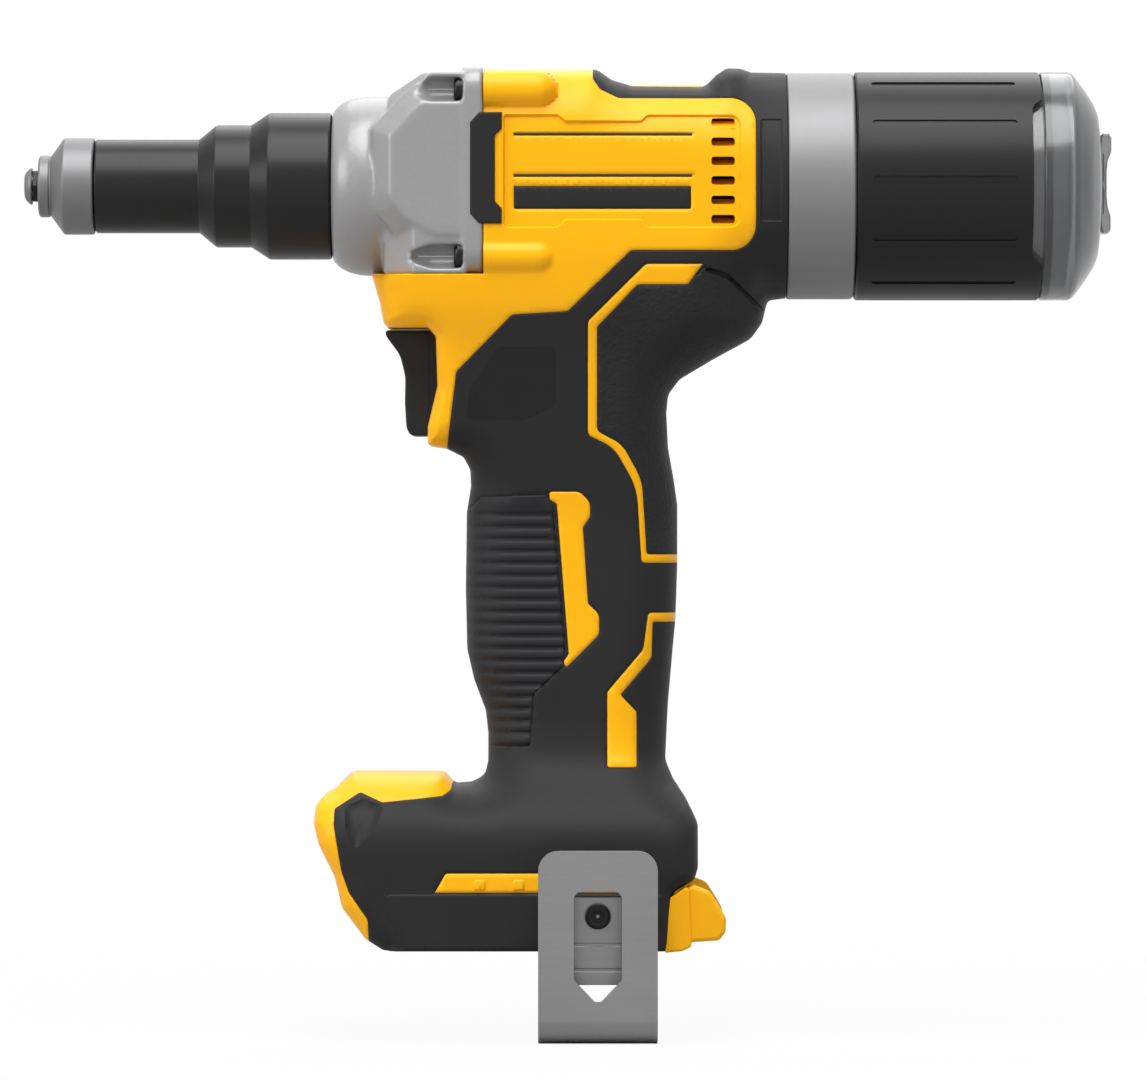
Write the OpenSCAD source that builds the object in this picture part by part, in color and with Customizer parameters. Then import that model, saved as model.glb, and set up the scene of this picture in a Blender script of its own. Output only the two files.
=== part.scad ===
// Battery rivet tool without its pack. X runs from the nose to the cup, Z is up, the pull axis is X.

/* [Nose] */
// Radius of the nosepiece head
nosepiece_r = 5.2; // [4.8:0.1:6]
// Length of the nosepiece in front of the nose cap
nosepiece_front_l = 4; // [3:0.1:6]
// Length of the threaded shank of the nosepiece
nosepiece_shank_l = 9; // [7:0.5:10]
// Radius of the threaded shank of the nosepiece
nosepiece_shank_r = 4.4; // [3.8:0.1:4.6]
// Radius of the mandrel bore
mandrel_bore_r = 1.65; // [1.3:0.05:1.8]
// Radius of the nose cap
nose_cap_r = 13.4; // [13:0.1:14.5]
// Length of the nose cap
nose_cap_l = 16.4; // [15:0.2:20]
// Length of the thread between nose cap and barrel
cap_thread_l = 7.2; // [5:0.2:7.4]
// Radius of the front of the barrel
barrel_r = 12.6; // [12:0.1:13]
// Radius of the middle of the barrel
barrel_mid_r = 16.6; // [15:0.1:17]
// Radius of the rear of the barrel
barrel_rear_r = 20.1; // [19:0.1:20.3]
// Length of the barrel behind the nose cap
barrel_l = 65.8; // [60:0.2:80]
// Radius of the bore of the barrel
barrel_bore_r = 10; // [9.5:0.1:10.4]
// Length of the barrel thread inside the gearcase
spigot_l = 7.8; // [6:0.2:10]
// Radius of the barrel thread inside the gearcase
spigot_r = 16.6; // [14:0.1:17]

/* [Puller] */
// Length of the jaw case
jaw_case_l = 36; // [34:0.5:40]
// Radius of the bore under the jaws
jaw_seat_r = 7.5; // [7.2:0.1:8]
// Length of the thread between jaw case and spindle
jaw_thread_l = 10.8; // [8:0.2:12]
// Length of the jaws
jaw_l = 13.5; // [11:0.5:14]
// Travel of the jaws in the jaw case
jaw_travel = 1.2; // [0.8:0.1:1.3]
// Travel of the puller
stroke = 22; // [16:1:24]
// Radius of the pull spindle
spindle_r = 5.8; // [5.4:0.1:6]
// Bore of the pull spindle
spindle_bore_r = 3; // [2.5:0.1:3.4]
// Wire radius of the jaw spring
jaw_wire_r = 0.6; // [0.4:0.05:0.7]

/* [Drive] */
// Length of the thrust bearing
thrust_l = 4.3; // [3.6:0.1:5]
// Length of the ball nut
nut_l = 12.9; // [12:0.1:18]
// Radius of the ball nut
nut_r = 13; // [12:0.1:13.5]
// Thickness of the planet carrier
carrier_t = 3.4; // [3:0.1:5]
// Module of the gears
gear_module = 0.7; // [0.66:0.01:0.72]
// Teeth of the sun pinion
sun_teeth = 24;
// Teeth of one planet gear
planet_teeth = 15;
// Face width of the gears
gear_w = 8; // [6:0.2:10]
// Radius of a planet pin
planet_pin_r = 1.7; // [1.4:0.1:2]
// Wall of the ring gear outside its teeth
ring_gear_wall = 1.7; // [1.4:0.1:2]

/* [Gearcase] */
// Radius of the round front of the gearcase
gearcase_r = 25; // [24.5:0.1:26]
// Height of the flange above the pull axis
gearcase_top = 31; // [30:0.2:31.8]
// Depth of the flange below the pull axis
gearcase_drop = 25.5; // [25:0.1:25.6]
// Corner radius of the flange
gearcase_edge_r = 8; // [6:0.5:10]
// Radius of a screw boss
boss_r = 5.2; // [4.8:0.1:5.4]
// Depth of the screw bosses under the side of the housing
boss_inset = 3.8; // [3.4:0.1:4.2]
// Height of the upper screw bosses
boss_up = 25.8; // [25:0.1:26.4]
// Depth of the lower screw bosses
boss_down = 19.6; // [19:0.1:20.2]
// Thickness of the screw flange
flange_t = 5.6; // [4.5:0.1:6]
// Thread radius of a gearcase screw
case_screw_r = 2; // [1.6:0.1:2.4]
// Length of a gearcase screw under its head
case_screw_l = 20; // [16:1:24]

/* [Motor] */
// Outer radius of the stator
motor_r = 24; // [23.6:0.1:24.4]
// Length of the stator
stator_l = 28; // [24:0.5:32]
// Bore radius of the stator
stator_bore_r = 13.9; // [13.6:0.1:14.4]
// Radius over the rotor magnets
rotor_r = 13.2; // [12.6:0.1:13.4]
// Thickness of a magnet
magnet_t = 1.2; // [0.8:0.1:1.6]
// Radius of the rotor shaft
shaft_r = 8.2; // [8:0.1:8.6]
// Bore of the rotor shaft
shaft_bore_r = 6.2; // [6.05:0.05:6.4]
// Overhang of the windings at each end
winding_over = 2.4; // [1.6:0.1:3]
// Outer radius of a motor bearing
bearing_r = 13; // [12.5:0.1:14]
// Width of a motor bearing
bearing_w = 5.5; // [5:0.1:6]
// Thickness of the front plate behind the gearcase
plate_t = 5.2; // [5:0.1:6]
// Radius of the fan
fan_r = 21; // [19:0.5:22]
// Width of the fan
fan_l = 6; // [5:0.2:7]

/* [Housing] */
// Length of the housing behind the gearcase
body_l = 84; // [82:0.5:90]
// Width of the housing
body_w = 60; // [60:0.5:64]
// Height of the housing above the pull axis
body_top = 32; // [31.6:0.2:34]
// Edge radius of the housing top
body_edge_r = 18; // [14:1:22]
// Depth of the foot below the pull axis
handle_h = 212.4; // [205:1:225]
// Width of the grip
grip_w = 39; // [36:0.5:42]
// Width of the foot
foot_w = 72; // [68:0.5:78]
// Thickness of the overmould
skin_t = 1.6; // [1.2:0.1:2]
// Thickness of a housing wall
wall = 2.6; // [2:0.1:3]
// Thread radius of a housing screw
screw_r = 1.5; // [1.2:0.1:1.8]
// Length of a housing screw under its head
screw_l = 20; // [16:1:22]
// Height of a vent slot
vent_h = 2.4; // [1.6:0.1:2.8]
// Number of vent slots on each side
vent_count = 6;

/* [Trigger] */
// Width of the trigger
trigger_w = 22; // [20:0.5:24]
// Travel of the trigger
trigger_travel = 6; // [4:0.5:6]
// Width of the switch
switch_w = 20; // [18:0.5:22]
// Radius of the switch plunger
plunger_r = 2.4; // [2:0.1:3]
// Length of the plunger inside the switch at rest
plunger_in_l = 5; // [4:0.5:6]

/* [Rear] */
// Length of the rear cover
rear_cover_l = 11; // [9:0.5:12]
// Radius of the rear cover
rear_cover_r = 27.4; // [26.5:0.1:27.8]
// Radius of the mandrel guide
guide_r = 7.5; // [7.2:0.1:8]
// Length of the mandrel guide behind the web of the cup ring
guide_tail_l = 8; // [5:0.5:10]
// Length of the mandrel guide behind the spindle at full stroke
guide_rest_l = 11.2; // [6:0.2:14]
// Length of the cup ring
ring_l = 19; // [18:0.5:22]
// Outer radius of the cup ring
ring_r = 31.6; // [31.4:0.1:32]
// Bore radius of the cup ring
ring_bore_r = 28; // [27.8:0.1:28.6]
// Thickness of the web of the cup ring
ring_web_t = 3; // [2.5:0.1:4]
// Thread radius of a ring screw
ring_screw_r = 1.6; // [1.4:0.1:2]
// Length of a ring screw under its head
ring_screw_l = 10; // [8:0.5:12]

/* [Cup] */
// Outer radius of the cup
cup_r = 31.9; // [31.6:0.1:32.4]
// Wall of the cup
cup_wall = 2.2; // [1.8:0.1:2.6]
// Radius of the neck of the cup
neck_r = 26.6; // [26.2:0.1:26.8]
// Length of the neck inside the cup ring
neck_l = 14; // [13.5:0.1:15]
// Length of a bayonet lug
lug_l = 3.8; // [3:0.1:4]
// Length of the sleeve
sleeve_l = 51.2; // [45:0.2:60]
// Thickness of the sleeve
sleeve_t = 1.9; // [1.5:0.1:2.4]
// Length of the clear end of the cup
cup_end_l = 17; // [14:0.5:20]
// Height of the end grip
end_grip_h = 28; // [24:0.5:32]
// Width of the end grip
end_grip_w = 11; // [8:0.5:14]
// Length of the end grip
end_grip_l = 3.6; // [3:0.1:6]
// Wire radius of the cup seal
seal_r = 0.9; // [0.7:0.05:0.9]

/* [Foot] */
// Width of a side of the foot beside the slot for the battery pack
foot_side_w = 9; // [8:0.5:11]
// Depth of the slot for the battery pack
slot_h = 10; // [8:0.5:11]
// Width of a battery rail
rail_w = 3.5; // [3:0.1:5]
// Height of a battery rail
rail_h = 3; // [2.4:0.1:4]
// Width of the terminal block
block_w = 30; // [26:0.5:34]
// Thickness of a terminal
terminal_t = 1.2; // [0.8:0.1:1.6]
// Number of terminals
terminal_count = 5;
// Length of a threaded insert
insert_l = 7.4; // [6:0.2:7.6]
// Outer radius of a threaded insert
insert_r = 3.2; // [2.8:0.1:3.6]
// Bore of a threaded insert
insert_bore_r = 1.65; // [1.5:0.05:2]
// Width of the belt hook
hook_w = 32.8; // [28:0.2:38]
// Thickness of the belt hook strap
hook_t = 1.8; // [1.4:0.1:2.4]
// Gap behind the belt hook
hook_gap = 10; // [8:0.5:14]
// Corner radius of the belt hook
hook_edge_r = 5.6; // [3:0.2:8]
// Drop of the belt hook below the foot
hook_drop = 24.9; // [22:0.2:32]
// Radius of the belt hook screw head
hook_head_r = 3.6; // [3:0.1:4.5]
// Width of the LED lens
lens_w = 14; // [10:0.5:18]
// Length of the LED lens
lens_l = 5; // [4:0.2:6]
// Thickness of the LED lens
lens_t = 1.2; // [1:0.1:1.6]

/* [Clearances] */
// Axial gap between pieces that turn against each other
run_gap = 0.1; // [0.05:0.01:0.2]
// Radial gap of a turning fit
turn_gap = 0.06; // [0.03:0.01:0.1]
// Gap around pieces that slide
slide_gap = 0.3; // [0.2:0.05:0.4]
// Gap around pieces laid into the housing
lay_gap = 0.2; // [0.1:0.05:0.25]
// Axial gap beside the gears
gear_gap = 0.5; // [0.3:0.1:0.8]

/* [Hidden] */
$fn = 64;
// Overrun of every cut
over = 1;

// Stations along the pull axis
cap_x0 = nosepiece_front_l;
cap_x1 = cap_x0 + nose_cap_l;
barrel_x0 = cap_x1 - cap_thread_l;
gear_x0 = cap_x1 + barrel_l;
thrust_x0 = gear_x0 + spigot_l + run_gap;
nut_x0 = thrust_x0 + thrust_l + run_gap;
nut_x1 = nut_x0 + nut_l;
carrier_x1 = nut_x1 + carrier_t;
mesh_x0 = carrier_x1 + gear_gap;
mesh_x1 = mesh_x0 + gear_w;
plate_x0 = mesh_x1 + gear_gap + planet_pin_r + gear_gap;
plate_lip = gear_gap + planet_pin_r / 2;
plate_spigot_l = flange_t / 2;
gear_x1 = plate_x0 + plate_spigot_l;
body_x0 = gear_x1;
front_bearing_x0 = plate_x0 + plate_lip;
plate_x1 = max(body_x0 + plate_t, front_bearing_x0 + bearing_w + run_gap);
stator_x0 = plate_x1 + gear_gap + winding_over;
stator_x1 = stator_x0 + stator_l;
fan_x0 = stator_x1 + winding_over + winding_over;
fan_x1 = fan_x0 + fan_l;
rear_plate_x0 = fan_x1 + winding_over;
rear_plate_x1 = rear_plate_x0 + bearing_w + run_gap + plate_lip;
shaft_x1 = rear_plate_x1 - gear_gap;
body_x1 = body_x0 + body_l;
rear_cover_x0 = body_x1 - rear_cover_l;
ring_x1 = body_x1 + ring_l;
cup_x0 = ring_x1 + slide_gap;
sleeve_x1 = cup_x0 + sleeve_l;
cup_x1 = sleeve_x1 + cup_end_l;
neck_x0 = cup_x0 - neck_l;
jaw_x0 = cap_x0 + nosepiece_shank_l + nosepiece_shank_r + nosepiece_front_l;
jaw_x1 = jaw_x0 + jaw_case_l;
spindle_x0 = jaw_x1 - jaw_thread_l;
guide_x0 = rear_plate_x1 + gear_gap;
guide_x1 = body_x1 + ring_web_t + guide_tail_l;
spindle_x1 = guide_x1 - guide_rest_l - stroke;

// Radii worked out from fits
cap_thread_r = (barrel_bore_r + barrel_r) / 2;
jaw_case_r = barrel_bore_r - slide_gap;
nut_bore_r = spindle_r + slide_gap;
ring_teeth = sun_teeth + 2 * planet_teeth;
sun_pitch_r = sun_teeth * gear_module / 2;
planet_pitch_r = planet_teeth * gear_module / 2;
ring_pitch_r = ring_teeth * gear_module / 2;
planet_orbit_r = sun_pitch_r + planet_pitch_r;
ring_gear_r = ring_pitch_r + gear_module + ring_gear_wall;
carrier_r = planet_orbit_r + planet_pin_r + planet_pin_r;
nut_chamber_r = ring_gear_r - ring_gear_wall;
chamber_r = motor_r + lay_gap;
guide_bore_r = spindle_r + slide_gap;
cup_body_r = cup_r - sleeve_t;
boss_y = body_w / 2 - boss_inset;
slot_w = foot_w - 2 * foot_side_w;
bumper_share = .31;
bumper_t = bumper_share * (body_w / 2 - chamber_r);
bumper_y = body_w / 2 + turn_gap;
third_turn = 360 / 3;

// Places in the side view: shares of the housing length and of its height or depth
top_shares = [[0, 1], [.373, 1], [.423, .91], [.49, .858], [.73, .852], [.77, .965], [.803, 1.017],
    [.85, 1.017], [.883, .991], [1, .988]];
// Sections of the handle from the top down: depth, front, back, front and back corner share of the grip width
neck_end_shares = [-.372, .89];
neck_corner_shares = [.23, .51];
neck_rows = [[.1473, -.351, .928, .23, .51], [.1628, -.342, .918, .23, .46], [.182, -.332, .907, .23, .435],
    [.188, -.33, .899, .23, .41]];
trigger_rows = [[.188, -.187, .899, .13, .41], [.2, -.16, .88, .13, .41], [.228, -.157, .76, .13, .41],
    [.254, -.155, .65, .13, .385], [.275, -.16, .61, .13, .385], [.3, -.176, .603, .13, .385],
    [.318, -.187, .606, .13, .385], [.342, -.187, .61, .13, .385]];
grip_rows = [[.342, -.127, .61, .23, .385], [.352, -.07, .613, .28, .385], [.37, -.048, .622, .333, .385],
    [.395, -.045, .632, .36, .385], [.43, -.06, .64, .385, .385], [.53, -.063, .638, .385, .385],
    [.61, -.058, .625, .385, .385], [.65, -.035, .617, .385, .385], [.69, .003, .608, .385, .385],
    [.72, .012, .604, .385, .385], [.752, .012, .6, .385, .34], [.767, .005, .62, .36, .31]];
foot_rows = [[.767, -.43, .62, .23, .31], [.79, -.495, .657, .23, .256], [.798, -.545, .671, .23, .24],
    [.81, -.565, .683, .23, .23], [.836, -.572, .705, .23, .205], [.862, -.555, .705, .23, .18],
    [.892, -.514, .705, .2, .15], [.905, -.5, .695, .2, .13], [.924, -.489, .623, .2, .1],
    [.945, -.475, .62, .2, .1], [.985, -.39, .612, .2, .1], [1, -.33, .61, .15, .08]];
under_z = -gearcase_drop - lay_gap - lay_gap;
// Region of the overmould in the side view
black_top_shares = [[1.2, 1.2], [.363, 1.2], [.363, .97], [.385, .9], [.457, .79], [.8, .77], [.867, .69],
    [.902, .51]];
black_low_shares = [[.902, .04], [.87, .07], [.81, .084], [.52, .084], [.483, .09], [.29, .164],
    [.265, .168], [.1, .17], [.067, .176], [-.09, .25], [-.1, .26], [-.127, .335], [-.127, .4],
    [-.2, .42], [-.2, .74], [-.09, .755], [-.09, .785], [-.12, .798], [-.333, .807], [-.407, .793],
    [-.483, .811], [-.483, .855], [-.46, .895], [-.427, .928], [-.373, .967], [-.373, 1.1], [.59, 1.1],
    [.59, 1], [.613, .984], [.613, .926], [.8, .88], [1.2, .8]];
// Half widths in the front view: share of the half width, share of the depth
neck_shares = [[1, .09], [.95, .16], [.84, .22]];
grip_shares = [[1.12, .34], [1, .44], [1, .71], [1.08, .755]];
foot_shares = [[.72, .785], [.9, .818], [.97, .838], [1, .86], [1, 1]];
crown_share = 1.02;
collar_share = .95;
// Rail end of the foot in the side view
tab_shares = [[.59, .928], [.613, .928], [.68, .9135], [.74, .92], [.77, .9345], [.797, .9555],
    [.797, .972], [.78, .983], [.69, .987], [.68, .996], [.59, 1]];
// Trigger in the side view
trigger_shares = [[-.327, .193], [-.325, .203], [-.293, .228], [-.273, .25], [-.267, .28], [-.267, .303],
    [-.255, .318], [-.235, .3255], [-.19, .3255], [-.1, .318], [-.1, .193]];
pocket_shares = [-.5, -.02, .19, .33];
switch_shares = [-.02, .22, .2, .322];
grip_cavity_shares = [.075, .51, .1, .8];
foot_cavity_shares = [-.32, .57, .815, .936];
foot_slot_share = -.2;
module_shares = [-.24, .5, .865, .936];
block_shares = [-.12, .1, .985];
terminal_shares = [.24, .965, .98];
housing_screw_shares = [[-.28, -.155], [.72, -.19], [.3, -.43], [.3, -.7], [-.36, -.9], [.635, -.87]];
top_screw_shares = [[.3, .86], [.8, .86]];
hook_x_share = .375;
hook_screw_share = .954;
hook_top_share = .8668;
hook_leg_share = .9294;
hook_window_shares = [[-.2, .9196], [-.2, 1.0334], [0, 1.0617], [.2, 1.0334], [.2, .9196]];
hook_leg_cut_shares = [[-.27, 1.043], [-.27, 1.082], [.27, 1.082], [.27, 1.043]];
led_shares = [-.4625, .7785];
led_tilt = 46;
bumper_shares = [[-.043, .5], [-.043, -.21], [-.028, -.33], [.06, -.33], [.06, -.25], [.035, -.22],
    [.035, .5], [.06, .53], [.06, .62], [-.028, .62]];
// Vent slots: from, to along the length, lower edge of the top slot, step
vent_shares = [.755, .833, .527, .17];

function px(share) = body_x0 + share * body_l;
function pz(share) = -share * handle_h;
function low(p) = [px(p[0]), pz(p[1])];
function high(p) = [px(p[0]), p[1] * body_top];

// A flat shape pulled along the pull axis
module along_x(x0, x1) {
    translate([x0, 0, 0])
        rotate([0, 90, 0])
            linear_extrude(x1 - x0) children();
}

// A round bar along the pull axis
module bar(x0, x1, r) {
    along_x(x0, x1) circle(r);
}

// A turned shape from points of radius and station
module turned(points) {
    rotate([0, 90, 0])
        rotate_extrude() polygon(points);
}

// A round tube along the pull axis
module tube(x0, x1, r_in, r_out) {
    turned([[r_in, x0], [r_out, x0], [r_out, x1], [r_in, x1]]);
}

// A side view outline pulled across the tool
module across(y0, y1) {
    translate([0, y1, 0])
        rotate([90, 0, 0])
            linear_extrude(y1 - y0) children();
}

// A round bar across the tool
module cross_bar(x, z, y0, y1, r) {
    across(y0, y1) translate([x, z]) circle(r);
}

// A block between two corners
module block(low_corner, high_corner) {
    translate(low_corner) cube(high_corner - low_corner);
}

// A flat rectangle with round corners
module soft_rect(w, h, r) {
    square([w - 2 * r, h], center = true);
    square([w, h - 2 * r], center = true);
    for (i = [-1, 1], j = [-1, 1])
        translate([i * (w / 2 - r), j * (h / 2 - r)]) circle(r);
}

// Nose

nosepiece_shares = [[1, 0], [1, .6], [.8, .65], [.8, 1]];

module nosepiece() {
    color([0.55, 0.55, 0.56])
        turned(concat([[mandrel_bore_r, 0]],
            [for (s = nosepiece_shares) [s[0] * nosepiece_r, s[1] * nosepiece_front_l]],
            [[nosepiece_shank_r, cap_x0], [nosepiece_shank_r, cap_x0 + nosepiece_shank_l],
            [mandrel_bore_r, cap_x0 + nosepiece_shank_l + nosepiece_shank_r - mandrel_bore_r]]));
}

nose_cap_shares = [[.6, 0], [.645, .04], [.645, .19], [1, .44], [1, 1]];

module nose_cap() {
    color([0.66, 0.66, 0.66])
        turned(concat([[nosepiece_shank_r, cap_x0]],
            [for (s = nose_cap_shares) [s[0] * nose_cap_r, cap_x0 + s[1] * nose_cap_l]],
            [[cap_thread_r, cap_x1], [cap_thread_r, barrel_x0], [nosepiece_shank_r, barrel_x0]]));
}

barrel_shares = [.435, .508, .655, .733, 1];

module nose_barrel() {
    xs = [for (s = barrel_shares) cap_x1 + s * barrel_l];
    color([0.14, 0.14, 0.14])
        turned([[barrel_bore_r, barrel_x0], [cap_thread_r, barrel_x0], [cap_thread_r, cap_x1],
            [barrel_r, cap_x1], [barrel_r, xs[0]], [barrel_mid_r, xs[1]], [barrel_mid_r, xs[2]],
            [barrel_rear_r, xs[3]], [barrel_rear_r, xs[4]], [spigot_r, xs[4]],
            [spigot_r, gear_x0 + spigot_l], [barrel_bore_r, gear_x0 + spigot_l]]);
}

// Puller: jaw case, jaws, pusher, spring and spindle

jaw_mouth_r = spindle_bore_r + slide_gap;
cone_l = jaw_case_l - jaw_thread_l - jaw_thread_l + nosepiece_shank_r / 2;
jaw_slope = (jaw_seat_r - jaw_mouth_r) / cone_l;
jaw_front = jaw_x0 + nosepiece_r / 2;
jaw_back = jaw_front + jaw_l;
pusher_shares = [.45, 1];

function jaw_r(x) = min(jaw_seat_r, jaw_mouth_r + (x - jaw_x0) * jaw_slope) - lay_gap;

module jaw_case() {
    color([0.5, 0.5, 0.52])
        turned([[jaw_mouth_r, jaw_x0], [jaw_case_r, jaw_x0], [jaw_case_r, jaw_x1], [spindle_r, jaw_x1],
            [spindle_r, spindle_x0], [jaw_seat_r, spindle_x0], [jaw_seat_r, jaw_x0 + cone_l]]);
}

jaw_angle = 96;

module jaw(k) {
    color([0.35, 0.35, 0.37])
        rotate([third_turn * k, 0, 0])
            rotate([0, 90, 0])
                rotate([0, 0, -jaw_angle / 2])
                    rotate_extrude(angle = jaw_angle)
                        polygon([[mandrel_bore_r, jaw_front], [jaw_r(jaw_front), jaw_front],
                            [jaw_r(jaw_back), jaw_back], [mandrel_bore_r, jaw_back]]);
}

module jaw_1() {
    jaw(0);
}

module jaw_2() {
    jaw(1);
}

module jaw_3() {
    jaw(2);
}

pusher_x0 = jaw_back + lay_gap;
pusher_l = jaw_seat_r / 2;
pusher_r = jaw_r(pusher_x0 - jaw_travel);
pusher_x1 = pusher_x0 + pusher_shares[0] * pusher_l;

module jaw_pusher() {
    color([0.45, 0.45, 0.47])
        turned([[spindle_bore_r, pusher_x0], [pusher_r, pusher_x0], [pusher_r, pusher_x1],
            [spindle_bore_r + jaw_wire_r, pusher_x1], [spindle_bore_r + jaw_wire_r, pusher_x0 + pusher_l],
            [spindle_bore_r, pusher_x0 + pusher_l]]);
}

spring_turns = 4;
spring_r = (spindle_r + jaw_seat_r) / 2 - jaw_wire_r;
spring_x0 = pusher_x1 + jaw_wire_r + run_gap / 2;
spring_x1 = spindle_x0 - jaw_wire_r - run_gap / 2;
spring_sides = 6;
spring_steps = 12 * spring_turns;

module jaw_spring() {
    rings = [for (i = [0:spring_steps]) let (a = 360 * spring_turns * i / spring_steps,
        x = spring_x0 + (spring_x1 - spring_x0) * i / spring_steps)
        for (j = [0:spring_sides - 1]) let (b = 360 * j / spring_sides, r = spring_r + jaw_wire_r * cos(b))
            [x + jaw_wire_r * sin(b), r * cos(a), r * sin(a)]];
    walls = [for (i = [0:spring_steps - 1], j = [0:spring_sides - 1])
        let (k = (j + 1) % spring_sides, m = i * spring_sides, n = m + spring_sides)
        [m + j, n + j, n + k, m + k]];
    last = spring_steps * spring_sides;
    color([0.6, 0.6, 0.62])
        polyhedron(rings, concat([[for (j = [0:spring_sides - 1]) j]],
            walls, [[for (j = [spring_sides - 1:-1:0]) last + j]]));
}

module pull_spindle() {
    color([0.62, 0.62, 0.63])
        tube(spindle_x0, spindle_x1, spindle_bore_r, spindle_r);
}

// Drive: ball nut, bearings and planet gears

ball_count = 14;
race_share = .3;
ball_share = .27;

module ball_bearing(x0, w, r_in, r_out) {
    mid_r = (r_in + r_out) / 2;
    ball_r = ball_share * (r_out - r_in);
    race_t = race_share * (r_out - r_in);
    difference() {
        union() {
            tube(x0, x0 + w, r_in, r_in + race_t);
            tube(x0, x0 + w, r_out - race_t, r_out);
        }
        rotate([0, 90, 0])
            rotate_extrude()
                translate([mid_r, x0 + w / 2]) circle(ball_r + turn_gap);
    }
    for (i = [0:ball_count - 1])
        rotate([360 * i / ball_count, 0, 0])
            translate([x0 + w / 2, mid_r, 0]) sphere(ball_r);
}

nut_flange_l = thrust_l / 2;
nut_flange_r = nut_r + nut_flange_l;
nut_bearing_w = nut_l / 2;
nut_bearing_x0 = nut_x0 + nut_flange_l + run_gap;

module ball_nut() {
    color([0.5, 0.5, 0.53])
        turned([[nut_bore_r, nut_x0], [nut_flange_r, nut_x0], [nut_flange_r, nut_x0 + nut_flange_l],
            [nut_r, nut_x0 + nut_flange_l], [nut_r, nut_x1], [nut_bore_r, nut_x1]]);
}

roller_count = 16;
roller_share = .42;
washer_t = (1 - roller_share) * thrust_l / 2 - turn_gap;

module thrust_bearing() {
    bore_r = barrel_bore_r;
    color([0.6, 0.6, 0.62]) {
        tube(thrust_x0, thrust_x0 + washer_t, bore_r, nut_flange_r);
        tube(thrust_x0 + thrust_l - washer_t, thrust_x0 + thrust_l, bore_r, nut_flange_r);
        for (i = [0:roller_count - 1])
            rotate([360 * i / roller_count, 0, 0])
                translate([thrust_x0 + thrust_l / 2, 0, bore_r + gear_gap])
                    cylinder(r = roller_share * thrust_l / 2, h = nut_flange_r - bore_r - 2 * gear_gap);
    }
}

module nut_bearing() {
    color([0.6, 0.6, 0.62])
        ball_bearing(nut_bearing_x0, nut_bearing_w, nut_r + turn_gap, nut_chamber_r - turn_gap);
}

module at_planet(k) {
    turn = third_turn * k;
    translate([0, planet_orbit_r * sin(turn), -planet_orbit_r * cos(turn)])
        rotate([-turn, 0, 0]) children();
}

module planet_carrier() {
    color([0.48, 0.48, 0.5])
        difference() {
            tube(nut_x1, carrier_x1, nut_bore_r, carrier_r);
            for (k = [0:2])
                at_planet(k) bar(nut_x1 - over, carrier_x1 + over, planet_pin_r);
        }
}

module planet_pins() {
    color([0.62, 0.62, 0.64])
        for (k = [0:2])
            at_planet(k) bar(nut_x1, mesh_x1 + gear_gap, planet_pin_r);
}

tip_share = .1;
root_share = .27;
addendum_share = .85;
dedendum_share = 1.15;

// One straight-sided tooth for each count, outward for a wheel and inward for a ring
module toothed(teeth, inner_r, outer_r, inner_share, outer_share) {
    step = 360 / teeth;
    polygon([for (i = [0:teeth - 1], s = [[-inner_share, inner_r], [-outer_share, outer_r],
        [outer_share, outer_r], [inner_share, inner_r]])
        s[1] * [cos(step * (i + s[0])), sin(step * (i + s[0]))]]);
}

module wheel(teeth, pitch_r) {
    toothed(teeth, pitch_r - dedendum_share * gear_module, pitch_r + addendum_share * gear_module,
        root_share, tip_share);
}

module planet_gear(k) {
    at_planet(k)
        along_x(mesh_x0, mesh_x1)
            difference() {
                wheel(planet_teeth, planet_pitch_r);
                circle(planet_pin_r + turn_gap);
            }
}

module planet_gear_1() {
    color([0.55, 0.55, 0.57]) planet_gear(0);
}

module planet_gear_2() {
    color([0.55, 0.55, 0.57]) planet_gear(1);
}

module planet_gear_3() {
    color([0.55, 0.55, 0.57]) planet_gear(2);
}

module ring_gear() {
    half = 0.5;
    color([0.45, 0.45, 0.47])
        along_x(carrier_x1 + run_gap, plate_x0)
            difference() {
                circle(ring_gear_r);
                toothed(ring_teeth, ring_pitch_r - addendum_share * gear_module,
                    ring_pitch_r + dedendum_share * gear_module, half - tip_share, half - root_share);
            }
}

// Motor

module rotor_shaft() {
    color([0.58, 0.58, 0.6])
        difference() {
            union() {
                along_x(mesh_x0, mesh_x1) wheel(sun_teeth, sun_pitch_r);
                bar(mesh_x0, front_bearing_x0, sun_pitch_r - dedendum_share * gear_module);
                bar(front_bearing_x0 - run_gap, shaft_x1, shaft_r);
            }
            bar(mesh_x0 - over, shaft_x1 + over, shaft_bore_r);
        }
}

module rotor_core() {
    color([0.4, 0.4, 0.42])
        tube(stator_x0, stator_x1, shaft_r, rotor_r - magnet_t);
}

magnet_count = 4;
magnet_angle = 80;

module rotor_magnets() {
    color([0.3, 0.3, 0.32])
        for (k = [0:magnet_count - 1])
            rotate([360 * k / magnet_count, 0, 0])
                rotate([0, 90, 0])
                    rotate_extrude(angle = magnet_angle)
                        translate([rotor_r - magnet_t, stator_x0]) square([magnet_t, stator_l]);
}

blade_count = 11;

module cooling_fan() {
    hub_r = shaft_r + winding_over;
    disc_t = fan_l / 4;
    blade_t = magnet_t;
    color([0.2, 0.2, 0.21]) {
        difference() {
            union() {
                bar(fan_x0, fan_x1, hub_r);
                bar(fan_x0, fan_x0 + disc_t, fan_r);
                for (i = [0:blade_count - 1])
                    rotate([360 * i / blade_count, 0, 0])
                        translate([fan_x0, hub_r - blade_t, -blade_t / 2])
                            cube([fan_l, fan_r - hub_r, blade_t]);
            }
            bar(fan_x0 - over, fan_x1 + over, shaft_r);
        }
    }
}

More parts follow.
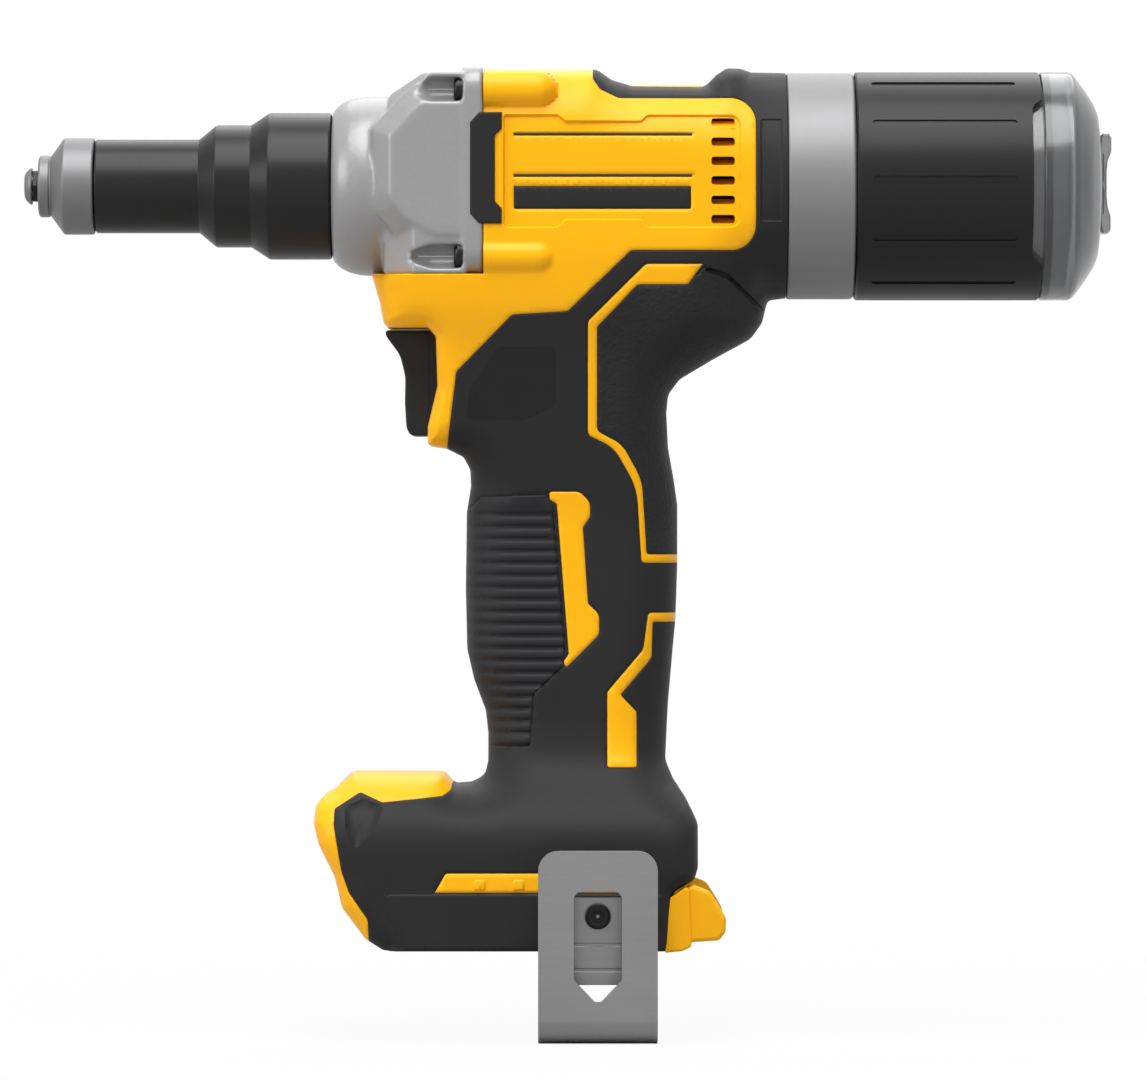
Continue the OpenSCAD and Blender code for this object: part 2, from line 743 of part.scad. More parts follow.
module motor_front_plate() {
    bore_r = (shaft_r + bearing_r) / 2;
    color([0.62, 0.62, 0.63])
        turned([[bore_r, plate_x0], [ring_gear_r, plate_x0], [ring_gear_r, body_x0], [motor_r, body_x0],
            [motor_r, plate_x1], [bearing_r, plate_x1], [bearing_r, front_bearing_x0],
            [bore_r, front_bearing_x0]]);
}

module motor_rear_plate() {
    bore_r = (shaft_r + bearing_r) / 2;
    lip_x = rear_plate_x0 + bearing_w + run_gap;
    color([0.62, 0.62, 0.63])
        turned([[bearing_r, rear_plate_x0], [motor_r, rear_plate_x0], [motor_r, rear_plate_x1],
            [bore_r, rear_plate_x1], [bore_r, lip_x], [bearing_r, lip_x]]);
}

module front_bearing() {
    color([0.6, 0.6, 0.62])
        ball_bearing(front_bearing_x0, bearing_w, shaft_r + turn_gap, bearing_r);
}

module rear_bearing() {
    color([0.6, 0.6, 0.62])
        ball_bearing(rear_plate_x0, bearing_w, shaft_r + turn_gap, bearing_r);
}

pole_count = 6;
pole_share = .45;
pole_w = pole_share * stator_bore_r;
yoke_r = motor_r - winding_over * 2;
coil_in_r = stator_bore_r + magnet_t;
coil_w = pole_w + 2 * winding_over - gear_gap;

module stator_core() {
    color([0.42, 0.42, 0.44])
        along_x(stator_x0, stator_x1)
            difference() {
                union() {
                    difference() {
                        circle(motor_r);
                        circle(yoke_r);
                    }
                    for (k = [0:pole_count - 1])
                        rotate(360 * k / pole_count)
                            translate([0, -pole_w / 2]) square([yoke_r + magnet_t, pole_w]);
                }
                circle(stator_bore_r);
            }
}

module stator_windings() {
    color([0.7, 0.4, 0.2])
        for (k = [0:pole_count - 1])
            rotate([360 * k / pole_count, 0, 0])
                difference() {
                    block([stator_x0 - winding_over, -coil_w / 2, -yoke_r + winding_over / 2],
                        [stator_x1 + winding_over, coil_w / 2, -coil_in_r]);
                    block([stator_x0, -pole_w / 2, -motor_r], [stator_x1, pole_w / 2, 0]);
                }
}

// Gearcase

dome_shares = [[.815, 0], [.9, .12], [.965, .4], [.992, .7], [1, 1]];
dome_l_share = .36;
dome_l = dome_l_share * gearcase_r;
flange_x0 = gear_x1 - flange_t;
ramp_shares = [.4, .6];
ramp_x0 = gear_x0 + ramp_shares[0] * (gear_x1 - gear_x0);
ramp_x1 = gear_x0 + ramp_shares[1] * (gear_x1 - gear_x0);
// Thickness and radius of a screw head, in thread radii
head_shares = [.85, 1.7];
head_t = head_shares[0] * case_screw_r;
head_r = head_shares[1] * case_screw_r;

module at_bosses() {
    for (i = [-1, 1], z = [boss_up, -boss_down])
        translate([0, i * boss_y, z]) children();
}

module flange_outline() {
    rotate(90)
        translate([0, (gearcase_top - gearcase_drop) / 2])
            soft_rect(body_w, gearcase_top + gearcase_drop, gearcase_edge_r);
}

module gearcase() {
    color([0.62, 0.62, 0.62])
        difference() {
            union() {
                turned(concat([[0, gear_x0]],
                    [for (s = dome_shares) [s[0] * gearcase_r, gear_x0 + s[1] * dome_l]],
                    [[gearcase_r, gear_x1], [0, gear_x1]]));
                along_x(ramp_x1, gear_x1) flange_outline();
                hull() {
                    along_x(ramp_x1, ramp_x1 + over) flange_outline();
                    bar(ramp_x0, ramp_x0 + over, gearcase_r);
                }
                at_bosses() bar(ramp_x1 - boss_r / 2, gear_x1, boss_r);
            }
            bar(gear_x0 - over, gear_x0 + spigot_l + over, spigot_r);
            bar(gear_x0 + spigot_l, carrier_x1 + over, nut_chamber_r);
            bar(carrier_x1, gear_x1 + over, ring_gear_r);
            at_bosses() {
                bar(ramp_x0, flange_x0, case_screw_r);
                bar(flange_x0 - head_t, flange_x0, head_r + lay_gap);
                bar(flange_x0 - over, gear_x1 + over, case_screw_r + lay_gap);
            }
            for (i = [-1, 1], z = [boss_up, -boss_down])
                translate([flange_x0 - head_t, i * (boss_y + boss_r), z])
                    translate([0, -boss_r, -head_r - lay_gap])
                        cube([head_t, 2 * boss_r, 2 * (head_r + lay_gap)]);
            bumper_space();
        }
}

module gearcase_screws() {
    color([0.16, 0.16, 0.16])
        at_bosses() {
            bar(flange_x0 - head_t, flange_x0, head_r);
            bar(flange_x0, flange_x0 + case_screw_l, case_screw_r);
        }
}

module bumper_outline() {
    polygon([for (s = bumper_shares) high(s)]);
}

// Room for both bumpers in the gearcase and the housing
module bumper_space() {
    across(-bumper_y - over, -bumper_y + bumper_t) bumper_outline();
    across(bumper_y - bumper_t, bumper_y + over) bumper_outline();
}

module side_bumper_left() {
    color([0.13, 0.13, 0.13])
        across(-bumper_y, -bumper_y + bumper_t) bumper_outline();
}

module side_bumper_right() {
    color([0.13, 0.13, 0.13])
        across(bumper_y - bumper_t, bumper_y) bumper_outline();
}

// Housing: one outer form, an inset form under the overmould, and the rooms inside

module side_view(t) {
    offset(delta = -t)
        polygon(concat([for (s = top_shares) high(s)], [[body_x1, under_z], [body_x0, under_z]]));
}

module black_view() {
    polygon(concat([for (s = black_top_shares) high(s)], [for (s = black_low_shares) low(s)]));
}

// Half width of the handle at a height
half_widths = concat([for (s = neck_shares) [s[1], s[0] * body_w / 2]],
    [for (s = grip_shares) [s[1], s[0] * grip_w / 2]], [for (s = foot_shares) [s[1], s[0] * foot_w / 2]]);
function half_w(z) = lookup(-z / handle_h, half_widths);

module front_view(t) {
    half = concat(
        [for (a = [90:-15:0]) [body_w / 2 - body_edge_r + body_edge_r * cos(a),
            crown_share * body_top - body_edge_r + body_edge_r * sin(a)]],
        [[half_w(0), pz(neck_shares[0][1])], [half_w(under_z), under_z]]);
    offset(delta = -t)
        polygon(concat(half, [for (i = [len(half) - 1:-1:0]) [-half[i][0], half[i][1]]]));
}

corner_step = 15;
corner_n = 90 / corner_step + 1;
function corner(x, y, r, a0) = [for (a = [0:corner_step:90]) [x + r * cos(a0 + a), y + r * sin(a0 + a)]];
function row(s) = [pz(s[0]), px(s[1]), px(s[2]), s[3] * grip_w, s[4] * grip_w];
function section(r, t) = let (w = half_w(r[0])) concat(
    corner(r[2] - r[4], w - r[4], r[4] - t, 0), corner(r[1] + r[3], w - r[3], r[3] - t, 90),
    corner(r[1] + r[3], r[3] - w, r[3] - t, 180), corner(r[2] - r[4], r[4] - w, r[4] - t, 270));

// A stretch of the handle through its sections; ends say how its top and bottom follow an inset
module loft(rows, t, ends) {
    last = len(rows) - 1;
    n = 4 * corner_n;
    points = [for (k = [0:last])
        let (z = rows[k][0] - (k == 0 ? ends[0] * t : 0) + (k == last ? ends[1] * t : 0))
        for (p = section(rows[k], t)) [p[0], p[1], z]];
    sides = [for (k = [0:last - 1], i = [0:n - 1])
        let (j = (i + 1) % n)
        for (f = [[k * n + i, k * n + j, (k + 1) * n + j], [k * n + i, (k + 1) * n + j, (k + 1) * n + i]]) f];
    polyhedron(points, concat(sides, [[for (i = [n - 1:-1:0]) i], [for (i = [0:n - 1]) last * n + i]]));
}

module outer_form(t) {
    intersection() {
        across(-foot_w, foot_w) side_view(t);
        rotate([90, 0, 90])
            linear_extrude(px(collar_share) - t) front_view(t);
    }
    difference() {
        loft(concat([[under_z, px(neck_end_shares[0]), px(neck_end_shares[1]), neck_corner_shares[0] * grip_w,
            neck_corner_shares[1] * grip_w]], [for (s = neck_rows) row(s)]), t, [-1, 1]);
        if (t > 0)
            block([0, -foot_w, under_z - t], [body_x0 + t, foot_w, 0]);
    }
    loft([for (s = trigger_rows) row(s)], t, [-1, 1]);
    loft([for (s = grip_rows) row(s)], t, [-1, -1]);
    loft([for (s = foot_rows) row(s)], t, [1, 1]);
    bar(px(collar_share) - 2 * skin_t - over + min(t, skin_t), body_x1 - t, ring_r - t);
}

rear_room_r = (guide_r + chamber_r) / 2;

module rooms() {
    bar(body_x0 - over, rear_plate_x1 + lay_gap, chamber_r);
    bar(rear_plate_x1, rear_cover_x0, rear_room_r);
    bar(rear_cover_x0, body_x1 + over, rear_cover_r + lay_gap);
    at_bosses() bar(body_x0 - over, flange_x0 + case_screw_l + over, case_screw_r);
    bumper_space();
    block([px(pocket_shares[0]), -trigger_w / 2 - slide_gap, pz(pocket_shares[3])],
        [px(pocket_shares[1]), trigger_w / 2 + slide_gap, pz(pocket_shares[2])]);
    block([px(switch_shares[0]) - over, -switch_w / 2 - lay_gap, pz(switch_shares[3]) - lay_gap],
        [px(switch_shares[1]) + lay_gap, switch_w / 2 + lay_gap, pz(switch_shares[2]) + lay_gap]);
    grip_y = grip_w / 2 - skin_t - wall;
    intersection() {
        block([px(grip_cavity_shares[0]), -grip_y, pz(grip_cavity_shares[3])],
            [px(grip_cavity_shares[1]), grip_y, pz(grip_cavity_shares[2])]);
        outer_form(skin_t + wall);
    }
    foot_y = slot_w / 2;
    block([px(foot_cavity_shares[0]), -foot_y, pz(foot_cavity_shares[3])],
        [px(foot_cavity_shares[1]), foot_y, pz(foot_cavity_shares[2])]);
    battery_slot();
    for (k = [0:vent_count - 1])
        translate([px(vent_shares[0]), -body_w, (vent_shares[2] - vent_shares[3] * k) * body_top])
            cube([px(vent_shares[1]) - px(vent_shares[0]), 2 * body_w, vent_h]);
    at_led() block([-lens_l / 2, -lens_w / 2, -led_depth] - [turn_gap, turn_gap, 0],
        [lens_l / 2, lens_w / 2, over] + [turn_gap, turn_gap, 0]);
    for (i = [-1, 1])
        cross_bar(px(hook_x_share), pz(hook_screw_share), i * (foot_w / 2 - insert_l / 2) - insert_l / 2,
            i * (foot_w / 2 - insert_l / 2) + insert_l / 2, insert_r);
}

module battery_slot() {
    block([px(foot_slot_share), -slot_w / 2 + rail_w, -handle_h - over],
        [body_x1, slot_w / 2 - rail_w, -handle_h + slot_h]);
    block([px(foot_slot_share), -slot_w / 2, -handle_h + rail_h],
        [body_x1, slot_w / 2, -handle_h + slot_h]);
}

// Boss radius, head radius and head thickness of a housing screw, in thread radii
screw_shares = [2.6, 1.9, 1.4];
screw_boss_r = screw_shares[0] * screw_r;
screw_head_r = screw_shares[1] * screw_r;
screw_head_t = screw_shares[2] * screw_r;
screw_places = concat([for (s = top_screw_shares) high(s)],
    [for (s = housing_screw_shares) [px(s[0]), s[1] * handle_h]]);

module screw_bosses() {
    for (i = [2:len(screw_places) - 1])
        cross_bar(screw_places[i][0], screw_places[i][1], -grip_w / 2 + skin_t + over,
            grip_w / 2 - skin_t - over, screw_boss_r);
}

module screw_holes() {
    for (p = screw_places) {
        cross_bar(p[0], p[1], -screw_l / 2, screw_l / 2, screw_r);
        cross_bar(p[0], p[1], 0, screw_l / 2, screw_r + lay_gap);
        cross_bar(p[0], p[1], screw_l / 2, foot_w, screw_head_r + lay_gap);
    }
}

// The rear ends of both battery rails
module rail_ends() {
    end_w = foot_side_w / 2 - skin_t;
    for (i = [-1, 1])
        translate([0, i * (slot_w + foot_side_w) / 2, 0])
            across(-end_w, end_w) polygon([for (s = tab_shares) low(s)]);
}

boss_share = .2;
boss_l = boss_share * body_l;

module housing() {
    difference() {
        union() {
            difference() {
                union() {
                    difference() {
                        union() {
                            outer_form(0);
                            at_bosses() bar(body_x0, body_x0 + boss_l, boss_r);
                            at_bosses() translate([body_x0 + boss_l, 0, 0]) sphere(boss_r);
                        }
                        across(-foot_w, foot_w) black_view();
                    }
                    outer_form(skin_t);
                    rail_ends();
                }
                rooms();
            }
            screw_bosses();
        }
        screw_holes();
    }
}

module left_half() {
    intersection() {
        children();
        block([0, -foot_w, -2 * handle_h], [cup_x0, 0, handle_h]);
    }
}

module right_half() {
    intersection() {
        children();
        block([0, 0, -2 * handle_h], [cup_x0, foot_w, handle_h]);
    }
}

module housing_left() {
    color([0.97, 0.7, 0.1]) left_half() housing();
}

module housing_right() {
    color([0.97, 0.7, 0.1]) right_half() housing();
}

module overmould() {
    difference() {
        intersection() {
            outer_form(0);
            across(-foot_w, foot_w) black_view();
        }
        outer_form(skin_t);
        rail_ends();
        rooms();
        screw_holes();
    }
}

module overmould_left() {
    color([0.2, 0.2, 0.2]) left_half() overmould();
}

module overmould_right() {
    color([0.2, 0.2, 0.2]) right_half() overmould();
}

module housing_screws() {
    color([0.15, 0.15, 0.15])
        for (p = screw_places) {
            cross_bar(p[0], p[1], -screw_l / 2, screw_l / 2, screw_r);
            cross_bar(p[0], p[1], screw_l / 2, screw_l / 2 + screw_head_t, screw_head_r);
        }
}

// Trigger and switch

trigger_back = px(trigger_shares[len(trigger_shares) - 1][0]);
plunger_z = pz((switch_shares[2] + switch_shares[3]) / 2);

module trigger() {
    color([0.14, 0.14, 0.14])
        across(-trigger_w / 2, trigger_w / 2) polygon([for (s = trigger_shares) low(s)]);
}

module switch_plunger() {
    color([0.3, 0.3, 0.31])
        translate([0, 0, plunger_z]) bar(trigger_back, px(switch_shares[0]) + plunger_in_l, plunger_r);
}

module switch_body() {
    color([0.22, 0.22, 0.23])
        difference() {
            block([px(switch_shares[0]), -switch_w / 2, pz(switch_shares[3])],
                [px(switch_shares[1]), switch_w / 2, pz(switch_shares[2])]);
            translate([0, 0, plunger_z])
                bar(px(switch_shares[0]) - over, px(switch_shares[0]) + plunger_in_l + trigger_travel + over,
                    plunger_r + turn_gap);
        }
}

// Work light in the pod of the foot

led_depth = 3 * lens_t;

module at_led() {
    translate([px(led_shares[0]), 0, pz(led_shares[1])])
        rotate([0, -led_tilt, 0]) children();
}

module led_lens() {
    color([0.9, 0.92, 0.95])
        at_led() block([-lens_l / 2, -lens_w / 2, -lens_t], [lens_l / 2, lens_w / 2, 0]);
}

module led_board() {
    color([0.1, 0.35, 0.2])
        at_led() block([-lens_l / 2, -lens_w / 2, -led_depth], [lens_l / 2, lens_w / 2, lens_t - led_depth]);
}

// Rear of the housing: guide, cover and cup ring

guide_flange_r = 2 * guide_r;
guide_flange_t = ring_web_t / 2;
ring_screw_orbit = (guide_flange_r + neck_r) / 2 - ring_web_t / 2;
ring_head_r = head_shares[1] * ring_screw_r;

module mandrel_guide() {
    color([0.25, 0.25, 0.26])
        turned([[guide_bore_r, guide_x0], [guide_r, guide_x0], [guide_r, rear_cover_x0 - guide_flange_t],
            [guide_flange_r, rear_cover_x0 - guide_flange_t], [guide_flange_r, rear_cover_x0],
            [guide_r, rear_cover_x0], [guide_r, guide_x1], [guide_bore_r, guide_x1]]);
}

module at_ring_screws() {
    for (k = [0:3])
        rotate([45 + 90 * k, 0, 0])
            translate([0, ring_screw_orbit, 0]) children();
}

module rear_cover() {
    color([0.18, 0.18, 0.19])
        difference() {
            tube(rear_cover_x0, body_x1, guide_r, rear_cover_r);
            at_ring_screws() bar(body_x1 + ring_web_t - ring_screw_l, body_x1 + over, ring_screw_r);
        }
}

module ring_screws() {
    color([0.5, 0.5, 0.52])
        at_ring_screws() {
            bar(body_x1 + ring_web_t - ring_screw_l, body_x1 + ring_web_t, ring_screw_r);
            bar(body_x1 + ring_web_t, body_x1 + ring_web_t + ring_screw_r, ring_head_r);
        }
}

lip_r = neck_r + slide_gap;
lug_r = ring_bore_r - slide_gap;
lug_angle = 26;
notch_angle = 34;
cup_turn = 45;
lip_l = cup_wall;
lug_x1 = ring_x1 - lip_l - slide_gap;

// A ring sector centred on the given angle around the pull axis
module sector(x0, x1, r_in, r_out, middle, angle) {
    rotate([middle, 0, 0])
        rotate([0, 90, 0])
            rotate([0, 0, -angle / 2])
                rotate_extrude(angle = angle)
                    translate([r_in, x0]) square([r_out - r_in, x1 - x0]);
}

module cup_ring() {
    color([0.66, 0.66, 0.66])
        difference() {
            turned([[guide_r, body_x1], [ring_r, body_x1], [ring_r, ring_x1], [lip_r, ring_x1],
                [lip_r, ring_x1 - lip_l], [ring_bore_r, ring_x1 - lip_l],
                [ring_bore_r, body_x1 + ring_web_t], [guide_r, body_x1 + ring_web_t]]);
            for (k = [0:2])
                sector(ring_x1 - lip_l - run_gap, ring_x1 + over, lip_r - over, ring_bore_r,
                    third_turn * k + cup_turn, notch_angle);
            at_ring_screws() bar(body_x1 - over, body_x1 + ring_web_t + over, ring_screw_r + lay_gap);
        }
}

// Collection cup

cup_end_shares = [[1, .02], [1, .45], [.97, .62], [.91, .76], [.81, .88], [.68, .97], [.6, 1]];
seal_x = neck_x0 + 2 * seal_r;
seal_orbit = ring_bore_r - turn_gap - seal_r;
groove_r = seal_orbit - seal_r - turn_gap;

module collection_cup() {
    inner = [for (i = [len(cup_end_shares) - 1:-1:1]) [cup_end_shares[i][0] * cup_r - cup_wall,
        sleeve_x1 + cup_end_shares[i][1] * cup_end_l - cup_wall]];
    color([0.35, 0.36, 0.38, 0.6]) {
        difference() {
            turned(concat([[neck_r - cup_wall, neck_x0], [neck_r, neck_x0], [neck_r, cup_x0],
                [cup_body_r, cup_x0], [cup_body_r, sleeve_x1]],
                [for (s = cup_end_shares) [s[0] * cup_r, sleeve_x1 + s[1] * cup_end_l]],
                [[0, cup_x1], [0, cup_x1 - cup_wall]], inner,
                [[cup_body_r - cup_wall, sleeve_x1 - cup_wall], [cup_body_r - cup_wall, cup_x0 + cup_wall],
                [neck_r - cup_wall, cup_x0 + cup_wall]]));
            tube(seal_x - seal_r - turn_gap, seal_x + seal_r + turn_gap, groove_r, neck_r + over);
        }
        for (k = [0:2])
            sector(lug_x1 - lug_l, lug_x1, neck_r - cup_wall / 2, lug_r, third_turn * k, lug_angle);
    }
}

module cup_seal() {
    color([0.1, 0.1, 0.1])
        rotate([0, 90, 0])
            rotate_extrude()
                translate([seal_orbit, seal_x]) circle(seal_r);
}

rib_count = 12;
rib_share = .1;
groove_share = .8;

module cup_sleeve() {
    groove_w = groove_share * sleeve_t;
    color([0.15, 0.15, 0.15])
        difference() {
            tube(cup_x0, sleeve_x1, cup_body_r, cup_r);
            for (k = [0:rib_count - 1])
                rotate([360 * k / rib_count, 0, 0])
                    translate([cup_x0 + rib_share * sleeve_l, cup_r - sleeve_t / 2, -groove_w / 2])
                        cube([sleeve_l * (1 - 2 * rib_share), sleeve_t, groove_w]);
        }
}

end_grip_shares = [[0, .5], [.9, .5], [1, .42], [.8, .3], [.72, 0], [.8, -.3], [1, -.42], [.9, -.5],
    [0, -.5]];

module cup_end_grip() {
    color([0.3, 0.31, 0.33])
        across(-end_grip_w / 2, end_grip_w / 2)
            polygon([for (s = end_grip_shares) [cup_x1 + s[0] * end_grip_l, s[1] * end_grip_h]]);
}

// Foot: belt hook, inserts, control module and terminals

hook_y = foot_w / 2;
hook_x = px(hook_x_share);
fold_r = hook_gap / 2 + hook_t;
fold_z = -handle_h - hook_drop + fold_r;

module belt_hook() {
    mid_y = -hook_y - fold_r;
    color([0.56, 0.56, 0.57])
        difference() {
            intersection() {
                rotate([90, 0, 90])
                    translate([0, 0, hook_x - hook_w / 2])
                        linear_extrude(hook_w)
                            difference() {
                                union() {
                                    translate([mid_y, fold_z]) circle(fold_r);
                                    translate([-hook_y - hook_t, fold_z])
                                        square([hook_t, pz(hook_leg_share) - fold_z]);
                                    translate([mid_y - fold_r, fold_z])
                                        square([hook_t, pz(hook_top_share) - fold_z]);
                                }
                                translate([mid_y, fold_z]) circle(hook_gap / 2);
                                translate([mid_y - hook_gap / 2, fold_z])
                                    square([hook_gap, handle_h]);
                            }
                translate([hook_x, 0, (pz(hook_top_share) - handle_h - hook_drop) / 2])
                    across(-foot_w, foot_w)
                        soft_rect(hook_w, handle_h + hook_drop + pz(hook_top_share), hook_edge_r);
            }
            across(mid_y - fold_r - over, mid_y)
                polygon([for (s = hook_window_shares) [hook_x + s[0] * hook_w, pz(s[1])]]);
            across(mid_y, 0)
                polygon([for (s = hook_leg_cut_shares) [hook_x + s[0] * hook_w, pz(s[1])]]);
            cross_bar(hook_x, pz(hook_screw_share), mid_y, 0, insert_bore_r + lay_gap);
        }
}

module belt_hook_screw() {
    shank_r = insert_bore_r - turn_gap;
    color([0.3, 0.3, 0.31]) {
        cross_bar(hook_x, pz(hook_screw_share), -hook_y - hook_t, -hook_y + insert_l - hook_t, shank_r);
        cross_bar(hook_x, pz(hook_screw_share), -hook_y - 2 * hook_t, -hook_y - hook_t, hook_head_r);
    }
}

module hook_inserts() {
    color([0.75, 0.6, 0.3])
        for (i = [-1, 1])
            difference() {
                cross_bar(hook_x, pz(hook_screw_share), i * (hook_y - insert_l / 2) - insert_l / 2,
                    i * (hook_y - insert_l / 2) + insert_l / 2, insert_r);
                cross_bar(hook_x, pz(hook_screw_share), i * hook_y - insert_l - over,
                    i * hook_y + insert_l + over, insert_bore_r);
            }
}

module control_module() {
    module_y = slot_w / 2 - wall;
    color([0.25, 0.25, 0.26])
        block([px(module_shares[0]), -module_y, pz(module_shares[3])],
            [px(module_shares[1]), module_y, pz(module_shares[2])]);
}

module terminal_block() {
    color([0.2, 0.2, 0.21])
        block([px(block_shares[0]), -block_w / 2, pz(block_shares[2])],
            [px(block_shares[1]), block_w / 2, -handle_h + slot_h]);
}

module terminals() {
    pitch = block_w / terminal_count;
    color([0.75, 0.6, 0.3])
        for (k = [0:terminal_count - 1])
            translate([0, (k + 0.5) * pitch - block_w / 2, 0])
                block([px(block_shares[1]), -terminal_t / 2, pz(terminal_shares[2])],
                    [px(terminal_shares[0]), terminal_t / 2, pz(terminal_shares[1])]);
}

nosepiece();
nose_cap();
nose_barrel();
gearcase();
gearcase_screws();
side_bumper_left();
side_bumper_right();
housing_left();
housing_right();
overmould_left();
overmould_right();
housing_screws();
trigger();
switch_plunger();
switch_body();
led_lens();
led_board();
cup_ring();
ring_screws();
rear_cover();
mandrel_guide();
collection_cup();
cup_sleeve();
cup_end_grip();
cup_seal();
belt_hook();
belt_hook_screw();
hook_inserts();
control_module();
terminal_block();
terminals();
jaw_case();
jaw_1();
jaw_2();
jaw_3();
jaw_pusher();
jaw_spring();
pull_spindle();
ball_nut();
thrust_bearing();
nut_bearing();
planet_carrier();
planet_pins();
planet_gear_1();
planet_gear_2();
planet_gear_3();
ring_gear();
rotor_shaft();
rotor_core();
rotor_magnets();
cooling_fan();
motor_front_plate();
motor_rear_plate();
front_bearing();
rear_bearing();
stator_core();
stator_windings();
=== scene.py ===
import math

import bmesh
import bpy
import numpy as np
from mathutils.geometry import delaunay_2d_cdt
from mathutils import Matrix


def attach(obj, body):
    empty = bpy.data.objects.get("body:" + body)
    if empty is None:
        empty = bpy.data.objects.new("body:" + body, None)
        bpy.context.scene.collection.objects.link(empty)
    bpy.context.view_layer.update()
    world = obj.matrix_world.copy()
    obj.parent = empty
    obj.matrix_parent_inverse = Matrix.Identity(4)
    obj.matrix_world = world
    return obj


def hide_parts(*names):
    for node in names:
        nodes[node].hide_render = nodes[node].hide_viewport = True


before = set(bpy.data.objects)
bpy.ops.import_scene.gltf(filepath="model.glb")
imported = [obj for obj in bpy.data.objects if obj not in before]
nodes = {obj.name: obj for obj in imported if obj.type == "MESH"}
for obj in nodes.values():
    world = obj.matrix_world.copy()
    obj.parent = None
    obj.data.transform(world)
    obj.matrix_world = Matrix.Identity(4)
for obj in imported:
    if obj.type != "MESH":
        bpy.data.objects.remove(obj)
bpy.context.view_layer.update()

# ------------------------------------------------------------------ nosepiece, nose cap, barrel
# The nosepiece is a small hardened steel bush with the mandrel bore, screwed into a bright turned
# nose cap. A blacked six-sided collar sits in the recess behind its flange; its black is painted
# shade for that recess. The cap screws onto the black barrel, a turned steel tube in three
# diameters.
MM = 0.001


def turned(name, stations, sides=96):
    """A turned piece: a ring is drawn out along X from station to station (x, radius), in mm."""
    bpy.ops.object.select_all(action="DESELECT")
    x, r = stations[0]
    bpy.ops.mesh.primitive_circle_add(vertices=sides, radius=r * MM, location=(x * MM, 0, 0),
                                      rotation=(0, math.pi / 2, 0))
    piece = bpy.context.object
    piece.name = piece.data.name = name
    bpy.ops.object.transform_apply(location=True, rotation=True, scale=True)
    bpy.ops.object.mode_set(mode="EDIT")
    bpy.ops.mesh.select_all(action="SELECT")
    for next_x, next_r in stations[1:]:
        bpy.ops.mesh.extrude_region_move(
            TRANSFORM_OT_translate={"value": ((next_x - x) * MM, 0, 0)})
        if next_r != r:
            bpy.ops.transform.resize(value=(1, next_r / r, next_r / r),
                                     center_override=(next_x * MM, 0, 0))
        x, r = next_x, next_r
    bpy.ops.mesh.select_all(action="SELECT")
    bpy.ops.mesh.remove_doubles(threshold=2e-6)
    bpy.ops.mesh.normals_make_consistent(inside=False)
    bpy.ops.object.mode_set(mode="OBJECT")
    return piece


def only(piece):
    """Selects the piece alone, and makes it the active one."""
    bpy.ops.object.select_all(action="DESELECT")
    piece.select_set(True)
    bpy.context.view_layer.objects.active = piece


def work(piece, kind, **settings):
    """Works a piece with one modifier, and applies it."""
    only(piece)
    modifier = piece.modifiers.new(kind, kind)
    for setting, value in settings.items():
        setattr(modifier, setting, value)
    bpy.ops.object.modifier_apply(modifier=modifier.name)


def soften(piece, width, angle=30):
    """Breaks the sharp edges of a piece with a small round, and shades it smooth."""
    only(piece)
    if width:
        work(piece, "BEVEL", width=width * MM, segments=2, limit_method="ANGLE",
             angle_limit=math.radians(angle))
    bpy.ops.object.shade_smooth_by_angle(angle=math.radians(angle))
    work(piece, "WEIGHTED_NORMAL", keep_sharp=True)


def tone(code):
    """A colour as written on a screen, such as F9B51B, as Blender's linear values."""
    parts = [int(code[i:i + 2], 16) / 255 for i in (0, 2, 4)]
    return tuple(p / 12.92 if p <= .04045 else ((p + .055) / 1.055) ** 2.4 for p in parts) + (1,)


def shader_node(tree, kind, operation=None, sockets={}):
    """Adds a shader node, with its operation and the values of some of its sockets."""
    made = tree.nodes.new("ShaderNode" + kind)
    if operation:
        made.operation = operation
    for socket, value in sockets.items():
        made.inputs[socket].default_value = value
    return made


def link(tree, *pairs):
    """Wires shader nodes together, from each output to its input."""
    for start, end in pairs:
        tree.links.new(start, end)


# One shared grain: a fine noise, stretched as the surface was worked, over a slow cloudy one.
grain = bpy.data.node_groups.new("worked_surface", "ShaderNodeTree")
for label, kind in (("Tone", "NodeSocketColor"), ("Stretch", "NodeSocketVector"),
                    ("Tone spread", "NodeSocketFloat"), ("Rough", "NodeSocketFloat"),
                    ("Rough spread", "NodeSocketFloat")):
    grain.interface.new_socket(label, in_out="INPUT", socket_type=kind)
for label, kind in (("Colour", "NodeSocketColor"), ("Roughness", "NodeSocketFloat"),
                    ("Height", "NodeSocketFloat")):
    grain.interface.new_socket(label, in_out="OUTPUT", socket_type=kind)
g_in, g_out = grain.nodes.new("NodeGroupInput"), grain.nodes.new("NodeGroupOutput")
g_place = shader_node(grain, "TexCoord")
g_stretch = shader_node(grain, "VectorMath", "MULTIPLY")
g_fine = shader_node(grain, "TexNoise", None, {"Scale": 1, "Detail": 3})
g_cloud = shader_node(grain, "TexNoise", None, {"Scale": 45, "Detail": 2})
g_both = shader_node(grain, "Math", "ADD")
g_even = shader_node(grain, "Math", "SUBTRACT", {1: 1})
g_shade = shader_node(grain, "Math", "MULTIPLY_ADD", {2: 1})
g_colour = shader_node(grain, "VectorMath", "SCALE")
g_rough = shader_node(grain, "Math", "MULTIPLY_ADD")
g_rough.use_clamp = True
